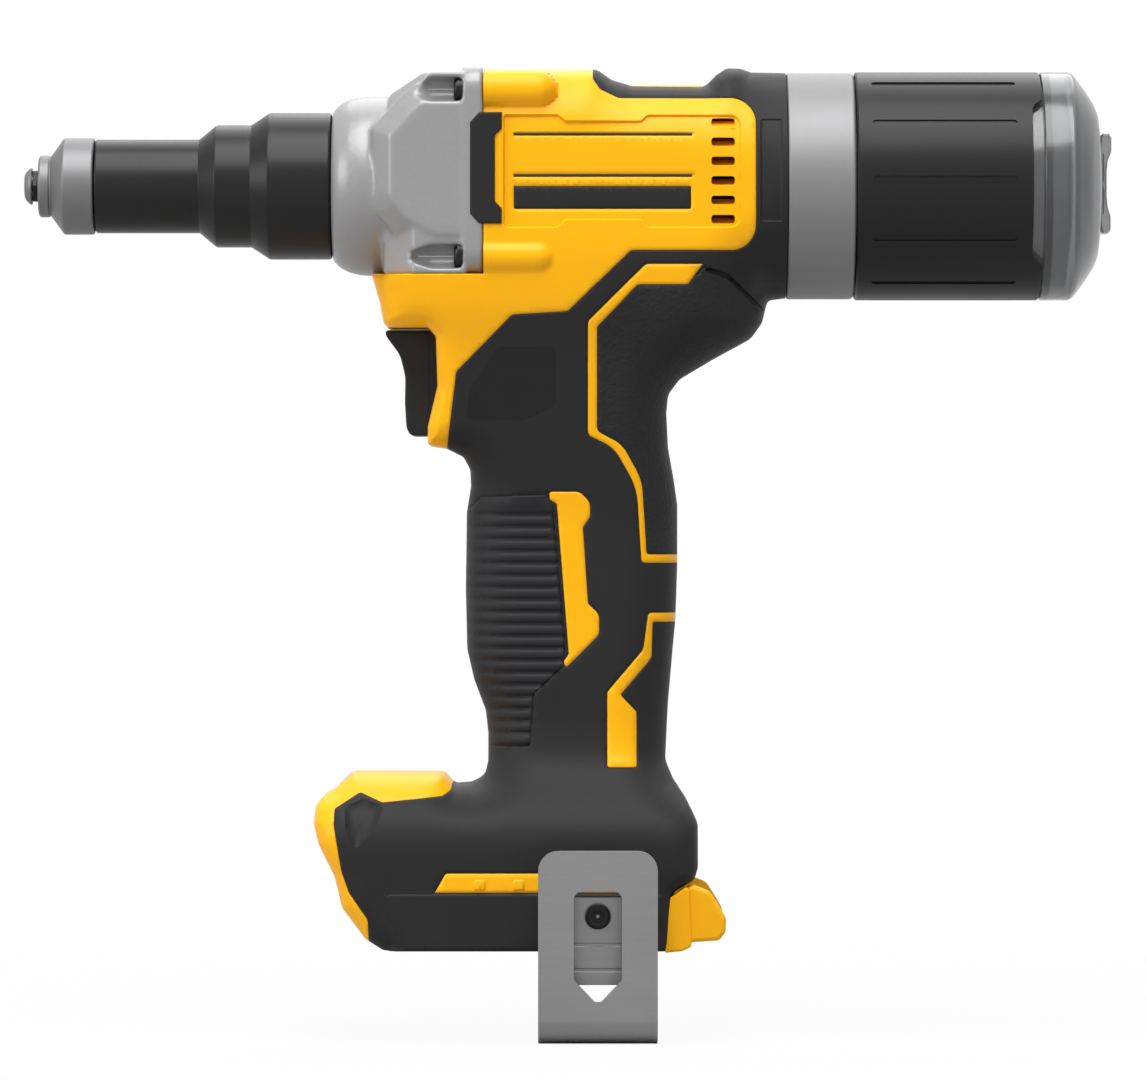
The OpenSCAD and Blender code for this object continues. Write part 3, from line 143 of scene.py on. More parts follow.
link(grain, (g_place.outputs["Object"], g_stretch.inputs[0]),
     (g_in.outputs["Stretch"], g_stretch.inputs[1]),
     (g_stretch.outputs[0], g_fine.inputs["Vector"]),
     (g_place.outputs["Object"], g_cloud.inputs["Vector"]),
     (g_fine.outputs[0], g_both.inputs[0]), (g_cloud.outputs[0], g_both.inputs[1]),
     (g_both.outputs[0], g_even.inputs[0]),
     (g_even.outputs[0], g_shade.inputs[0]), (g_in.outputs["Tone spread"], g_shade.inputs[1]),
     (g_in.outputs["Tone"], g_colour.inputs[0]), (g_shade.outputs[0], g_colour.inputs["Scale"]),
     (g_even.outputs[0], g_rough.inputs[0]), (g_in.outputs["Rough spread"], g_rough.inputs[1]),
     (g_in.outputs["Rough"], g_rough.inputs[2]),
     (g_colour.outputs[0], g_out.inputs["Colour"]), (g_rough.outputs[0], g_out.inputs["Roughness"]),
     (g_fine.outputs[0], g_out.inputs["Height"]))


def finish(name, colour, stretch, spread, rough, rough_spread, depth, metal=0, coat=0, shine=.5):
    """A material with the shared grain: depth is the height of its bump, in mm."""
    material = bpy.data.materials.new(name)
    material.use_nodes = True
    tree = material.node_tree
    shader = tree.nodes["Principled BSDF"]
    shader.inputs["Metallic"].default_value = metal
    shader.inputs["Coat Weight"].default_value = coat
    shader.inputs["Specular IOR Level"].default_value = shine
    worked = shader_node(tree, "Group")
    worked.node_tree = grain
    for label, value in (("Tone", tone(colour)), ("Stretch", stretch), ("Tone spread", spread),
                         ("Rough", rough), ("Rough spread", rough_spread)):
        worked.inputs[label].default_value = value
    bump = shader_node(tree, "Bump", None, {"Distance": depth * MM})
    link(tree, (worked.outputs["Colour"], shader.inputs["Base Color"]),
         (worked.outputs["Roughness"], shader.inputs["Roughness"]),
         (worked.outputs["Height"], bump.inputs["Height"]),
         (bump.outputs[0], shader.inputs["Normal"]))
    return material


def fit(piece, body, slot, material, *replaced):
    """Gives a finished piece its material and its place in the assembly."""
    piece.data.materials.clear()
    piece.data.materials.append(material)
    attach(piece, body)
    if replaced:
        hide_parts(*replaced)


bright_steel = finish("bright_turned_steel", "727273", (2600, 90, 90), .12, .46, .12, .006,
                      metal=.6, shine=.3)
blacked_steel = finish("blacked_turned_steel", "191919", (2200, 70, 70), .25, .34, .1, .004,
                       shine=.22)

nose_tip = turned("nosepiece_bush", [
    (0, 1.65), (0, 3.2), (.4, 4), (1.2, 4.8), (1.9, 5.2), (2.1, 5), (2.1, 4.1), (4.6, 4.1),
    (4.6, 1.65), (0, 1.65)])
soften(nose_tip, .12)
fit(nose_tip, "tool", "bright_steel", bright_steel, "nosepiece")
# Blacked collar: its black stands in for the shade of the recess behind the flange (painted shade).
nose_collar_painted_shade = turned("nosepiece_blacked_hex", [
    (2.2, 4.15), (2.2, 4.6), (2.5, 4.9), (3.6, 4.9), (3.9, 4.6), (3.9, 4.15), (2.2, 4.15)], 6)
soften(nose_collar_painted_shade, .1)
fit(nose_collar_painted_shade, "tool", "black_metal", blacked_steel)

nose_cap = turned("nose_cap_turned", [
    (4, 4.4), (4, 8), (4.5, 8.64), (6.9, 8.64), (7.2, 8.3), (7.5, 8.5), (10.8, 13.1), (11.3, 13.5),
    (19.2, 13.5), (19.6, 13.1), (19.6, 10.5), (12.5, 10.5), (12.5, 4.4), (4, 4.4)])
soften(nose_cap, .22)
fit(nose_cap, "tool", "bright_steel", bright_steel, "nose_cap")

barrel = turned("nose_barrel_turned", [
    (19.9, 10.6), (19.9, 12.7), (20.3, 13.1), (48.8, 13.1), (49.2, 13.3), (53.4, 16.8), (54, 17.1),
    (63.3, 17.1), (63.8, 17.3), (68.2, 20.2), (68.9, 20.5), (85.4, 20.5), (86, 20.1), (86, 13),
    (70, 13), (70, 10.6), (19.9, 10.6)])
soften(barrel, .35)
fit(barrel, "tool", "black_metal", blacked_steel, "nose_barrel")

# ------------------------------------------------------------------ gearcase and its screws
# The gearcase is one aluminium casting: a domed front round the barrel, a raised block with flat
# side panels, and four bosses whose socket screws clamp it to the housing.


def plate(name, outline, y_low, y_high):
    """A flat piece cut to a side outline of (x, z) points, raised from y_low to y_high, in mm."""
    bpy.ops.object.select_all(action="DESELECT")
    bpy.ops.mesh.primitive_circle_add(vertices=len(outline), radius=MM, fill_type="NGON")
    piece = bpy.context.object
    piece.name = piece.data.name = name
    for point, (x, z) in zip(piece.data.vertices, outline):
        point.co = (x * MM, y_low * MM, z * MM)
    bpy.ops.object.mode_set(mode="EDIT")
    bpy.ops.mesh.select_all(action="SELECT")
    bpy.ops.mesh.extrude_region_move(
        TRANSFORM_OT_translate={"value": (0, (y_high - y_low) * MM, 0)})
    bpy.ops.mesh.select_all(action="SELECT")
    bpy.ops.mesh.normals_make_consistent(inside=False)
    bpy.ops.object.mode_set(mode="OBJECT")
    return piece


def pick(piece, kind, test):
    """In edit mode, selects the faces or edges whose middle (x, y, z in mm) passes the test."""
    bpy.ops.mesh.select_mode(type=kind)
    bpy.ops.mesh.select_all(action="DESELECT")
    mesh = bmesh.from_edit_mesh(piece.data)
    for item in mesh.faces if kind == "FACE" else mesh.edges:
        middle = sum((v.co for v in item.verts), item.verts[0].co * 0) / len(item.verts) / MM
        item.select_set(bool(test(*middle)))
    bmesh.update_edit_mesh(piece.data)


def chamfer(piece, width, test, segments=1):
    """Bevels the edges of a piece whose middle passes the test."""
    only(piece)
    bpy.ops.object.mode_set(mode="EDIT")
    pick(piece, "EDGE", test)
    bpy.ops.mesh.bevel(offset=width * MM, segments=segments, affect="EDGES")
    bpy.ops.mesh.select_mode(type="VERT")
    bpy.ops.object.mode_set(mode="OBJECT")


def block(name, low, high):
    """A rectangular piece between two corners, in mm."""
    bpy.ops.object.select_all(action="DESELECT")
    bpy.ops.mesh.primitive_cube_add(size=1, location=[(a + b) / 2 * MM for a, b in zip(low, high)],
                                    scale=[(b - a) * MM for a, b in zip(low, high)])
    piece = bpy.context.object
    piece.name = piece.data.name = name
    bpy.ops.object.transform_apply(location=True, rotation=True, scale=True)
    return piece


def combine(piece, other, way):
    """Joins another piece to this one, or cuts it out, and clears the other away."""
    work(piece, "BOOLEAN", operation=way, solver="EXACT", object=other)
    bpy.data.objects.remove(other)


def moved(piece, step, name, turn=(0, 0, 0), stretch=(1, 1, 1)):
    """A copy of a piece with its own mesh, stretched and turned at the origin, then moved in mm."""
    only(piece)
    bpy.ops.object.duplicate()
    copy = bpy.context.object
    copy.name = copy.data.name = name
    copy.location, copy.rotation_euler, copy.scale = [s * MM for s in step], turn, stretch
    bpy.ops.object.transform_apply(location=True, rotation=True, scale=True)
    return copy


def joined(pieces, name):
    """Several pieces made one."""
    only(pieces[0])
    for other in pieces[1:]:
        other.select_set(True)
    bpy.ops.object.join()
    pieces[0].name = pieces[0].data.name = name
    return pieces[0]


def sided(hand, near, far):
    """Low and high y of a stretch on the left (hand -1) or the right (1) of the middle."""
    return sorted((hand * near, hand * far))


def run_together(piece, voxel):
    """Draws a built-up piece into one flowing skin, as a mould gives it; voxel is in mm."""
    work(piece, "REMESH", mode="VOXEL", voxel_size=voxel * MM)
    work(piece, "SMOOTH", factor=.5, iterations=12)


BOSS_Y, BOSS_Z = 26.2, (25.6, -20.6)
cast_aluminium = finish("cast_aluminium", "8F8F90", (700, 700, 700), .1, .33, .1, .05, metal=.15)
screw_black = finish("blacked_screw_steel", "161617", (900, 900, 900), .3, .4, .15, .01, metal=.5)

gearcase = turned("gearcase_casting", [
    (86.2, 14), (86.2, 20.3), (87, 21.6), (88.6, 23), (91, 24.2), (94, 24.9), (97, 25.1),
    (128.6, 25.1), (128.6, 14), (86.2, 14)])
side_panel = plate("panel_block", [
    (97.6, 15), (105, 23.4), (110, 27.5), (128.4, 27.5), (128.4, -20), (114, -20), (104, -14.5),
    (99, -8.5), (97.6, -4)], -30, 30)
chamfer(side_panel, 5.4, lambda x, y, z: abs(y) > 29.9 and x < 128)
combine(gearcase, side_panel, "UNION")
top_wedge = plate("top_wedge", [(102.4, 24.6), (112, 31), (128.4, 31), (128.4, 18), (102.4, 18)],
                  -21.5, 21.5)
chamfer(top_wedge, 4, lambda x, y, z: abs(y) > 21 and z > 24)
combine(gearcase, top_wedge, "UNION")
# The upper bosses are cut off all round their front, the lower ones on its outer edge alone.
for hand in (-1, 1):
    low_y, high_y = sided(hand, 8, 29.3)
    for boss_z, front_x, low_z, high_z, cut, cut_from_y in (
            (BOSS_Z[0], 109.5, -4.8, 4.8, 4.6, 0), (BOSS_Z[1], 101, -4.7, 10, 8.5, 29)):
        boss = block("boss", (front_x, low_y, boss_z + low_z), (124, high_y, boss_z + high_z))
        chamfer(boss, cut, lambda x, y, z: x < front_x + .1 and abs(y) > cut_from_y)
        combine(gearcase, boss, "UNION")
flange = block("flange_plate", (123, -30.3, -25.5), (128.6, 30.3, 32.3))
chamfer(flange, 6.5, lambda x, y, z: 123.5 < x < 128 and abs(y) > 30 and (z > 32 or z < -25), 6)
combine(gearcase, flange, "UNION")
# Each screw goes in from the front, along a trough in the corner of the casting.
trough = turned("trough", [(107, .4), (110, 2), (114, 3.3), (122.9, 3.3), (122.9, .4), (107, .4)],
                40)
for hand in (-1, 1):
    for boss_z in BOSS_Z:
        cutter = moved(trough, (0, hand * (BOSS_Y + 2), boss_z), "trough_cut")
        combine(gearcase, cutter, "DIFFERENCE")
bpy.data.objects.remove(trough)
run_together(gearcase, .55)
bpy.ops.object.shade_smooth_by_angle(angle=math.radians(60))
fit(gearcase, "tool", "cast_aluminium", cast_aluminium, "gearcase")

head = turned("gearcase_screw_head", [
    (120.5, .2), (120.5, 2.6), (120.9, 3.05), (121.4, 3.2), (122.8, 3.2), (122.8, 1.5),
    (127.5, 1.5), (127.5, .2), (120.5, .2)], 40)
heads = joined([moved(head, (0, hand * BOSS_Y, z), "screw_head")
                for hand in (-1, 1) for z in BOSS_Z], "gearcase_screw_heads")
bpy.data.objects.remove(head)
soften(heads, .1)
fit(heads, "tool", "black_metal", screw_black)

# ------------------------------------------------------------------ housing halves and overmould
# Two yellow glass filled nylon halves, moulded over with a soft black rubber skin: top strip, grip
# and foot. Both are thin shells that follow one side outline, rolled over at their edges; the
# rubber lies flush in the yellow, with a fine moulded seam between them.
PARTING, WALL, SEAM_DEPTH, RIB_DEPTH = .12, 2.2, .35, .6
REAR_R, REAR_BORE, FRONT_BORE = 31.6, 28.5, 23
BOSS_R, BOSS_END = 5.2, 144
# Spacing of the grid on which the form is flowed together, and how far it flows.
GRID, FLOW = .7, 1.5
# Side outline (x, z, corner radius, roll of the edge that leaves the corner), in mm.
SIDE = [
    (128.7, 32, 0, 18), (160.1, 32, 3, 18), (164.3, 29.1, 3, 18), (170, 27.4, 5, 18),
    (190, 27.2, 4, 20), (193.6, 30.8, 2, 22), (196.3, 32.6, 2.5, 22), (200.2, 32.6, 2, 24),
    (203, 31.7, 1.5, 28), (212.8, 31.6, 0, .6), (212.8, -31.3, 0, 28), (208, -31.9, 2, 24),
    (207.2, -34.4, 2, 20), (206.2, -38.4, 2, 18), (203.4, -42.5, 5, 16), (192.6, -48.4, 6, 16),
    (183.4, -53.9, 5, 15), (180, -58.4, 5, 15), (179.5, -63.7, 0, 15), (180, -73.3, 0, 15),
    (181.7, -82.9, 0, 15), (182.6, -89.2, 0, 15), (182.6, -106.2, 0, 15), (182.1, -121.1, 0, 15),
    (181.3, -129.5, 0, 15), (180, -144.4, 0, 15), (179.2, -160.3, 6, 13), (181.6, -166, 5, 11),
    (185.2, -171.6, 5, 9), (188, -177.3, 5, 8), (188, -189.5, 3, 6), (187, -192.8, 2, 5),
    (181.1, -196.3, 2, 4), (180, -212.4, 0, 1.2), (101.1, -212.4, 3, 6), (96, -209.2, 4, 8),
    (89.6, -200.7, 4, 8), (87.6, -192.2, 5, 8), (83.1, -183.1, 5, 9), (81.7, -177.5, 4, 9),
    (82.2, -172.6, 3, 9), (83.9, -170.3, 2, 9), (86.8, -168.7, 2, 9), (92.3, -163.9, 2, 9),
    (117.3, -164, 3, 10), (120.4, -167.4, 2, 11), (125, -167, 4, 13), (128.8, -165, 5, 14),
    (129.8, -160.5, 4, 15), (129.8, -152.9, 0, 15), (129.1, -146.5, 6, 15), (125.9, -138.1, 8, 15),
    (123.9, -129.5, 8, 15), (123.5, -112.6, 0, 15), (123.8, -91.3, 4, 15), (125, -83.9, 3, 14),
    (124.8, -79.4, 3, 12), (122.9, -75.8, 3, 9), (118.1, -73.4, 1, 5), (113.1, -72.6, 1, 5),
    (113.1, -67.6, 2, 5), (115.8, -56.3, 0, 5), (115.4, -42.5, 2, 5), (113.1, -39.9, 1, 5),
    (101.1, -39.9, 2, 8), (99.8, -32.9, 0, 9), (97.6, -25.4, 0, .3), (128.7, -25.4, 0, .3)]
# Half width against height, in mm.
WIDTH_Z = [40, -18.9, -33.8, -46.7, -59.6, -72.2, -93.4, -151, -160.3, -166.7, -173.8, -178, -182.7,
           -218.6]
WIDTH_Y = [30, 30, 28.5, 25.2, 23.3, 21.8, 19.5, 19.5, 21, 25.9, 32.4, 34.9, 36, 36]
EASE = [k * .8 for k in range(-4, 5)]


def oblong(x_from, x_to, z_from, z_to, r=0):
    """The corners of an oblong, with a radius."""
    return [(x_from, z_from, r), (x_to, z_from, r), (x_to, z_to, r), (x_from, z_to, r)]


# Outlines of the mouldings (x, z, corner radius): the black skin, the yellow on it, and its pads.
BLACK = [
    (158.9, 33.6), (158.9, 29, 2), (160.9, 25.9, 2), (166.1, 23.4, 3), (204, 23.4, 7),
    (204, -18.9, 7), (169.5, -18.9, 2), (152, -35.7, 2), (136.6, -36.6, 2), (121.1, -52.4, 2),
    (118.5, -73.3), (118.5, -75.7), (99.9, -75.7), (99.4, -160.9), (121.2, -160.9),
    (120.1, -165.1, 1), (119.6, -168.2, 1), (117.3, -169.8, 1), (100.8, -171.5, 1.5),
    (94.6, -168.7, 1), (87.6, -173.2, 1), (87.4, -177.6, 2), (89.6, -190.6, 3), (91.6, -196.2, 3),
    (96.9, -203.8, 2), (97.2, -216.6), (178.9, -216.6), (178.9, -212.1), (180, -209.6),
    (180.3, -197.9), (186.2, -194), (205.8, -187.4), (225.4, -115), (224.4, 33.6)]
ACCENT_UP = [
    (189.3, -22.7), (185.2, -28.3, 1), (171.4, -28.3, 2), (160.1, -40, 1), (160.1, -68.8, 2),
    (167.1, -72.5, 9), (172.6, -82.4, 16), (173.9, -103, .6), (186.8, -103), (186.8, -105.3),
    (172.5, -105.3, 1), (171.2, -84.5, 20), (164.8, -73.3, 11), (157.6, -69.9, 2),
    (157.6, -38.5, 2), (173.6, -22.7, 2)]
ACCENT_LOW = [
    (186.8, -119.2), (174.4, -119.2, 1), (173, -129.4, 2), (163, -141.2, 1), (163, -162, .6),
    (171.1, -162, .6), (171.1, -146.7, .8), (166.6, -142, .6), (175.3, -131.7, 2),
    (175.6, -121.7, .6), (186.8, -121.7)]
GRIP_STRIPE = [
    (146.8, -85.6, .6), (155.4, -85.6, 3), (158.2, -88.6, 3), (158.2, -92.5, 1.5),
    (156.2, -95.6, 1), (157.6, -116.7, 1), (160.7, -119.6, 3), (160.7, -125.3, 3),
    (151.5, -134.5, .5), (150.9, -132.8, .5), (152.3, -130.6, .8), (149, -89, 1),
    (147.1, -87.8, .5)]
RIB_PAD = [
    (116.2, -90.5), (124.6, -90.5, 1), (127.9, -87, 1), (146, -86.4, 1), (147.7, -89, 1),
    (151.2, -129, 1), (150.9, -133.9, 1), (142.5, -141.8, 1), (141.4, -156.2, 1), (116.2, -156.2)]
REAR_PAD = [
    (187.7, -25.8, 1), (189.6, -23.5, 1), (196.2, -25.5, 1), (207.3, -35.7), (227.3, -35.7),
    (228.2, -103.9), (172.8, -103.9), (171.7, -84.5, 20), (165.6, -73.3, 11), (158.7, -69.9, 2),
    (158.7, -39.2), (172, -25.6), (185.6, -25.6)]
PATCH = [(132.6, -45.5, 2), (148.8, -45.5, 2), (148.8, -62, 3), (139.8, -65.8, 2),
         (123.8, -65.8, 2), (124.6, -57.5, 2)]
FOOT_STRIP = [(118.4, -190.9, .8), (172.2, -190.9, .8), (175.3, -196.2), (115.4, -196.2)]
PANEL_BAR = oblong(137.1, 186.1, -1.2, -7.5, .4)
PANEL_LINES = [oblong(137.1, 186.4, 13.5, 12.8), oblong(137.1, 186.4, 2.1, 1.4)]
# Sunk and raised areas of one colour: outline, depth and width of the slope round it.
PANEL = [
    (134.1, 18.7, 1), (149.3, 18.7, 1), (151.5, 17, 1), (172.2, 17, 1), (174.1, 18.7, 1),
    (199.9, 18.7, 3), (199.9, -12.8, 3), (174.1, -12.8, 1), (172.2, -10.6, 1), (151.5, -10.6, 1),
    (149.3, -12.8, 1), (134.1, -12.8, 1)]
POD_DIP = [(90.4, -172.6, 1), (95.6, -170.4, 1), (101.4, -172.6, 1), (99, -178.6, 1.5),
           (93.6, -184.4, 1), (90.6, -178.6, 1.5)]
SKIRT = [(102, -196.6, 1), (178, -196.6), (178, -228.5), (106, -228.5)]
COLLAR = [(205.2, 17.6, 1), (211.4, 17.6), (211.4, -11.1), (205.2, -11.1, 1)]
PAD_GROOVE = [(189.6, -24, .4), (191, -23.4, .4), (196.6, -25.4, 1), (207.6, -35.6), (206.6, -36.6),
              (196, -26.8, 1), (190.4, -25, .4)]
PIPS = [oblong(x - 1.6, x + 1.6, -192.6, -195.6, .4) for x in (127.8, 138.5)]
RELIEF = [(PANEL, -.9, .45), (POD_DIP, -1.5, 1.6), (SKIRT, .5, .5), (COLLAR, -.5, .5),
          (PAD_GROOVE, -1.1, .45), (PIPS[0], .5, .5), (PIPS[1], .5, .5)]
VENT_Z = (15.3, 9.9, 4.6, -.8, -6.2, -11.5)
VENTS = [oblong(191.7, 198.2, z, z + 2.4, .7) for z in VENT_Z]
SCREWS = [(154, 27.5), (196, 27.5), (105.3, -32.9), (189.3, -40.3), (154, -91.3), (154, -148.7),
          (98.6, -191.1), (182.1, -184.8)]
SCREW_HOLE = 3.05
RIB_PITCH, RIB_FIRST = 3.37, -92


def traced(corners, step=1.2):
    """Points at most a step apart along a closed outline, with its corners rounded.
    Gives the points, and for each the number of the corner it comes from."""
    flat, source = [], []
    for i, corner in enumerate(corners):
        here = np.array(corner[:2], float)
        r = corner[2] if len(corner) > 2 else 0
        a = np.array(corners[i - 1][:2]) - here
        b = np.array(corners[(i + 1) % len(corners)][:2]) - here
        la, lb = np.hypot(*a), np.hypot(*b)
        half = math.acos(max(-1, min(1, a @ b / la / lb))) / 2
        if r <= 0 or half > 1.54:
            flat.append(here)
            source.append(i)
            continue
        cut = min(r / math.tan(half), .48 * la, .48 * lb)
        r = cut * math.tan(half)
        axis = a / la + b / lb
        centre = here + axis / np.hypot(*axis) * r / math.sin(half)
        start, end = here + a / la * cut - centre, here + b / lb * cut - centre
        first = math.atan2(start[1], start[0])
        sweep = (math.atan2(end[1], end[0]) - first + math.pi) % (2 * math.pi) - math.pi
        count = max(2, math.ceil(abs(sweep) * r / .6))
        for k in range(count + 1):
            t = first + sweep * k / count
            flat.append(centre + r * np.array([math.cos(t), math.sin(t)]))
            source.append(i)
    points, owner = [], []
    for i, p in enumerate(flat):
        q = flat[(i + 1) % len(flat)]
        count = max(1, math.ceil(np.hypot(*(q - p)) / step))
        points += [p + (q - p) * k / count for k in range(count)]
        owner += [source[i]] * count
    return np.array(points), np.array(owner)


def inside(points, loop):
    """Which points lie within a closed outline."""
    result = np.zeros(len(points), bool)
    ends = np.roll(loop, -1, axis=0)
    x, z = points[:, 0], points[:, 1]
    for (xa, za), (xb, zb) in zip(loop, ends):
        if za != zb:
            hit = (za > z) != (zb > z)
            result ^= hit & (x < (xb - xa) * (z - za) / (zb - za) + xa)
    return result


def spread(points, starts, ends):
    """Distance from every point to every straight stretch, as a table."""
    along = ends - starts
    length = np.maximum((along ** 2).sum(1), 1e-12)
    gap = points[:, None, :] - starts[None]
    t = np.clip((gap * along[None]).sum(2) / length, 0, 1)
    return np.sqrt(((gap - t[..., None] * along[None]) ** 2).sum(2))


def nearest(points, starts, ends):
    """Distance from every point to the nearest stretch."""
    return np.concatenate([spread(points[i:i + 2000], starts, ends).min(1)
                           for i in range(0, len(points), 2000)])


def half_width(z):
    """Half width of the tool at some heights, with the corners of its table eased."""
    return sum(np.interp(-z - ease, [-w for w in WIDTH_Z], WIDTH_Y) for ease in EASE) / len(EASE)


def eased(t):
    """A share from 0 to 1 that sets out and arrives softly."""
    t = np.clip(t, 0, 1)
    return t * t * (3 - 2 * t)


def roll_over(points, starts, ends, roll):
    """Height of the shell over each point before its relief, and the distance to its edge."""
    width = half_width(points[:, 1])
    height, edge = [], []
    for i in range(0, len(points), 2000):
        away = spread(points[i:i + 2000], starts, ends)
        drop = np.maximum(roll - away, 0)
        height.append((width[i:i + 2000, None] - roll + np.sqrt(roll ** 2 - drop ** 2)).min(1))
        edge.append(away.min(1))
    return np.concatenate(height), np.concatenate(edge)


side, side_owner = traced(SIDE, 1.1)
side_next = np.roll(side, -1, axis=0)
side_roll = np.array([corner[3] for corner in SIDE], float)[side_owner]
rolled = side_roll > 3
for _ in range(3):
    window = [np.roll(side_roll * rolled, k) for k in range(-4, 5)]
    weight = [np.roll(rolled * 1., k) for k in range(-4, 5)]
    side_roll = np.where(rolled, sum(window) / np.maximum(sum(weight), 1), side_roll)
colour_loops = [traced(c, 1.1)[0] for c in (
    BLACK, REAR_PAD, RIB_PAD, PATCH, ACCENT_UP, ACCENT_LOW, GRIP_STRIPE, FOOT_STRIP, PANEL_BAR,
    *PANEL_LINES)]
relief_loops = [traced(c, 1.1)[0] for c, _, _ in RELIEF]
vent_loops = [traced(c, .8)[0] for c in VENTS]
screw_loops = [np.array([(x + SCREW_HOLE * math.cos(k * math.pi / 12),
                          z + SCREW_HOLE * math.sin(k * math.pi / 12)) for k in range(24)])
               for x, z in SCREWS]

# Points of the shell: every outline, rows that follow the edge, and an even filling.
loops = [side] + colour_loops + relief_loops + vent_loops + screw_loops
line_starts = np.concatenate(loops)
line_ends = np.concatenate([np.roll(loop, -1, axis=0) for loop in loops])
along = side_next - np.roll(side, 1, axis=0)
inward = np.stack([-along[:, 1], along[:, 0]], axis=1)
inward /= np.hypot(*inward.T)[:, None]
area = (side[:, 0] * side_next[:, 1] - side_next[:, 0] * side[:, 1]).sum()
inward *= 1 if area > 0 else -1
rows = [side + inward * away for away in (.12, .4, .9, 1.7, 2.8, 4.2, 6)]
for loop in colour_loops + relief_loops:
    tangent = np.roll(loop, -1, axis=0) - np.roll(loop, 1, axis=0)
    across = np.stack([-tangent[:, 1], tangent[:, 0]], axis=1)
    across /= np.maximum(np.hypot(*across.T), 1e-9)[:, None]
    rows += [loop + across * .45, loop - across * .45]
filling = np.array([(x + (j % 2) * .8, z) for j, z in enumerate(np.arange(-212, 34, 1.4))
                    for x in np.arange(80, 214, 1.6)])
rib_rows = [(x, RIB_FIRST - k * RIB_PITCH + s) for k in range(20)
            for s in (-1.05, -.7, -.3, .3, .7, 1.05) for x in np.arange(117, 152, 1.5)]
boss_rows = [(x, zc + s) for zc in BOSS_Z for s in np.linspace(-5.6, 5.6, 19)
             for x in np.arange(129.4, 152, .8)]
rib_outline = colour_loops[2]
rows += [filling[~inside(filling, rib_outline)], np.array(rib_rows), np.array(boss_rows)]
loose = np.concatenate(rows)
loose = loose[inside(loose, side)]
loose = loose[nearest(loose, line_starts, line_ends) > .1]
# Of points that crowd together, the first one stays.
taken = {}
for i, (x, z) in enumerate(loose):
    taken.setdefault((round(x / .3), round(z / .3)), i)
loose = loose[list(taken.values())]

lines, first = [], 0
for loop in loops:
    lines += [(first + k, first + (k + 1) % len(loop)) for k in range(len(loop))]
    first += len(loop)
every = [tuple(map(float, p)) for p in np.concatenate([line_starts, loose])]
flat, _, faces, _, _, _ = delaunay_2d_cdt(every, lines, [], 0, 1e-5)
flat = np.array([tuple(p) for p in flat])
flat_x, flat_z = flat.T
faces = np.array([f for f in faces if len(f) == 3])
centres = flat[faces].mean(1)
turn = np.cross(flat[faces[:, 1]] - flat[faces[:, 0]], flat[faces[:, 2]] - flat[faces[:, 0]])
faces[turn < 0] = faces[turn < 0][:, ::-1]
within = inside(centres, side)
for loop in vent_loops:
    within &= ~inside(centres, loop)
faces, centres = faces[within], centres[within]

# Which moulding each triangle belongs to.
YELLOW, RUBBER, PEBBLED, RIBBED, SMOOTH_PATCH = range(5)
paint = np.full(len(faces), YELLOW)
for loop, moulding in zip(colour_loops, (RUBBER, PEBBLED, RIBBED, SMOOTH_PATCH, YELLOW, YELLOW,
                                         YELLOW, YELLOW, RUBBER, RUBBER, RUBBER)):
    paint[inside(centres, loop)] = moulding

# Height of the skin, its edge roll, the bosses of the gearcase screws and the round rear end.
# Where the rolls of two edges meet, the form is flowed together on an even grid.
height, edge = roll_over(flat, side, side_next, side_roll)
grid_x, grid_z = np.arange(78, 216, GRID), np.arange(-216, 36, GRID)
cells = np.stack(np.meshgrid(grid_x, grid_z, indexing="ij"), -1).reshape(-1, 2)
form, _ = roll_over(cells, side, side_next, side_roll)
filled = inside(cells, side).reshape(len(grid_x), len(grid_z)) * 1.
form = form.reshape(filled.shape) * filled
bell = np.exp(-.5 * (np.arange(-9, 10) * GRID / FLOW) ** 2)
for axis in (0, 1):
    form = np.apply_along_axis(np.convolve, axis, form, bell, "same")
    filled = np.apply_along_axis(np.convolve, axis, filled, bell, "same")
form /= np.maximum(filled, 1e-9)
at_x, at_z = (flat_x - grid_x[0]) / GRID, (flat_z - grid_z[0]) / GRID
cx = np.clip(at_x.astype(int), 0, len(grid_x) - 2)
cz = np.clip(at_z.astype(int), 0, len(grid_z) - 2)
fx, fz = at_x - cx, at_z - cz
flowed = ((form[cx, cz] * (1 - fx) + form[cx + 1, cz] * fx) * (1 - fz)
          + (form[cx, cz + 1] * (1 - fx) + form[cx + 1, cz + 1] * fx) * fz)
height += (flowed - height) * eased((edge - 2) / 3)
rear = eased((flat_x - 202) / 9) * np.clip((REAR_R - np.abs(flat_z)) / 3, 0, 1)
height += (np.sqrt(np.maximum(REAR_R ** 2 - flat_z ** 2, 0)) - height) * rear
for boss_z in BOSS_Z:
    rise = BOSS_R ** 2 - (flat_z - boss_z) ** 2 - np.maximum(flat_x - BOSS_END, 0) ** 2
    height = np.maximum(height, np.where(rise > 0, BOSS_Y + np.sqrt(np.maximum(rise, 0)), 0))
for (_, depth, slope), loop in zip(RELIEF, relief_loops):
    away = nearest(flat, loop, np.roll(loop, -1, axis=0))
    height += depth * np.where(inside(flat, loop), np.clip(away / slope, 0, 1), 0)
in_ribs = np.zeros(len(flat), bool)
in_ribs[faces[paint == RIBBED].ravel()] = True
phase = (RIB_FIRST - flat_z + RIB_PITCH / 2) % RIB_PITCH - RIB_PITCH / 2
groove = np.clip((1.0 - np.abs(phase)) / .7, 0, 1)
height -= np.where(in_ribs & (flat_z > -156.2) & (flat_z < -89.4), RIB_DEPTH * groove, 0)

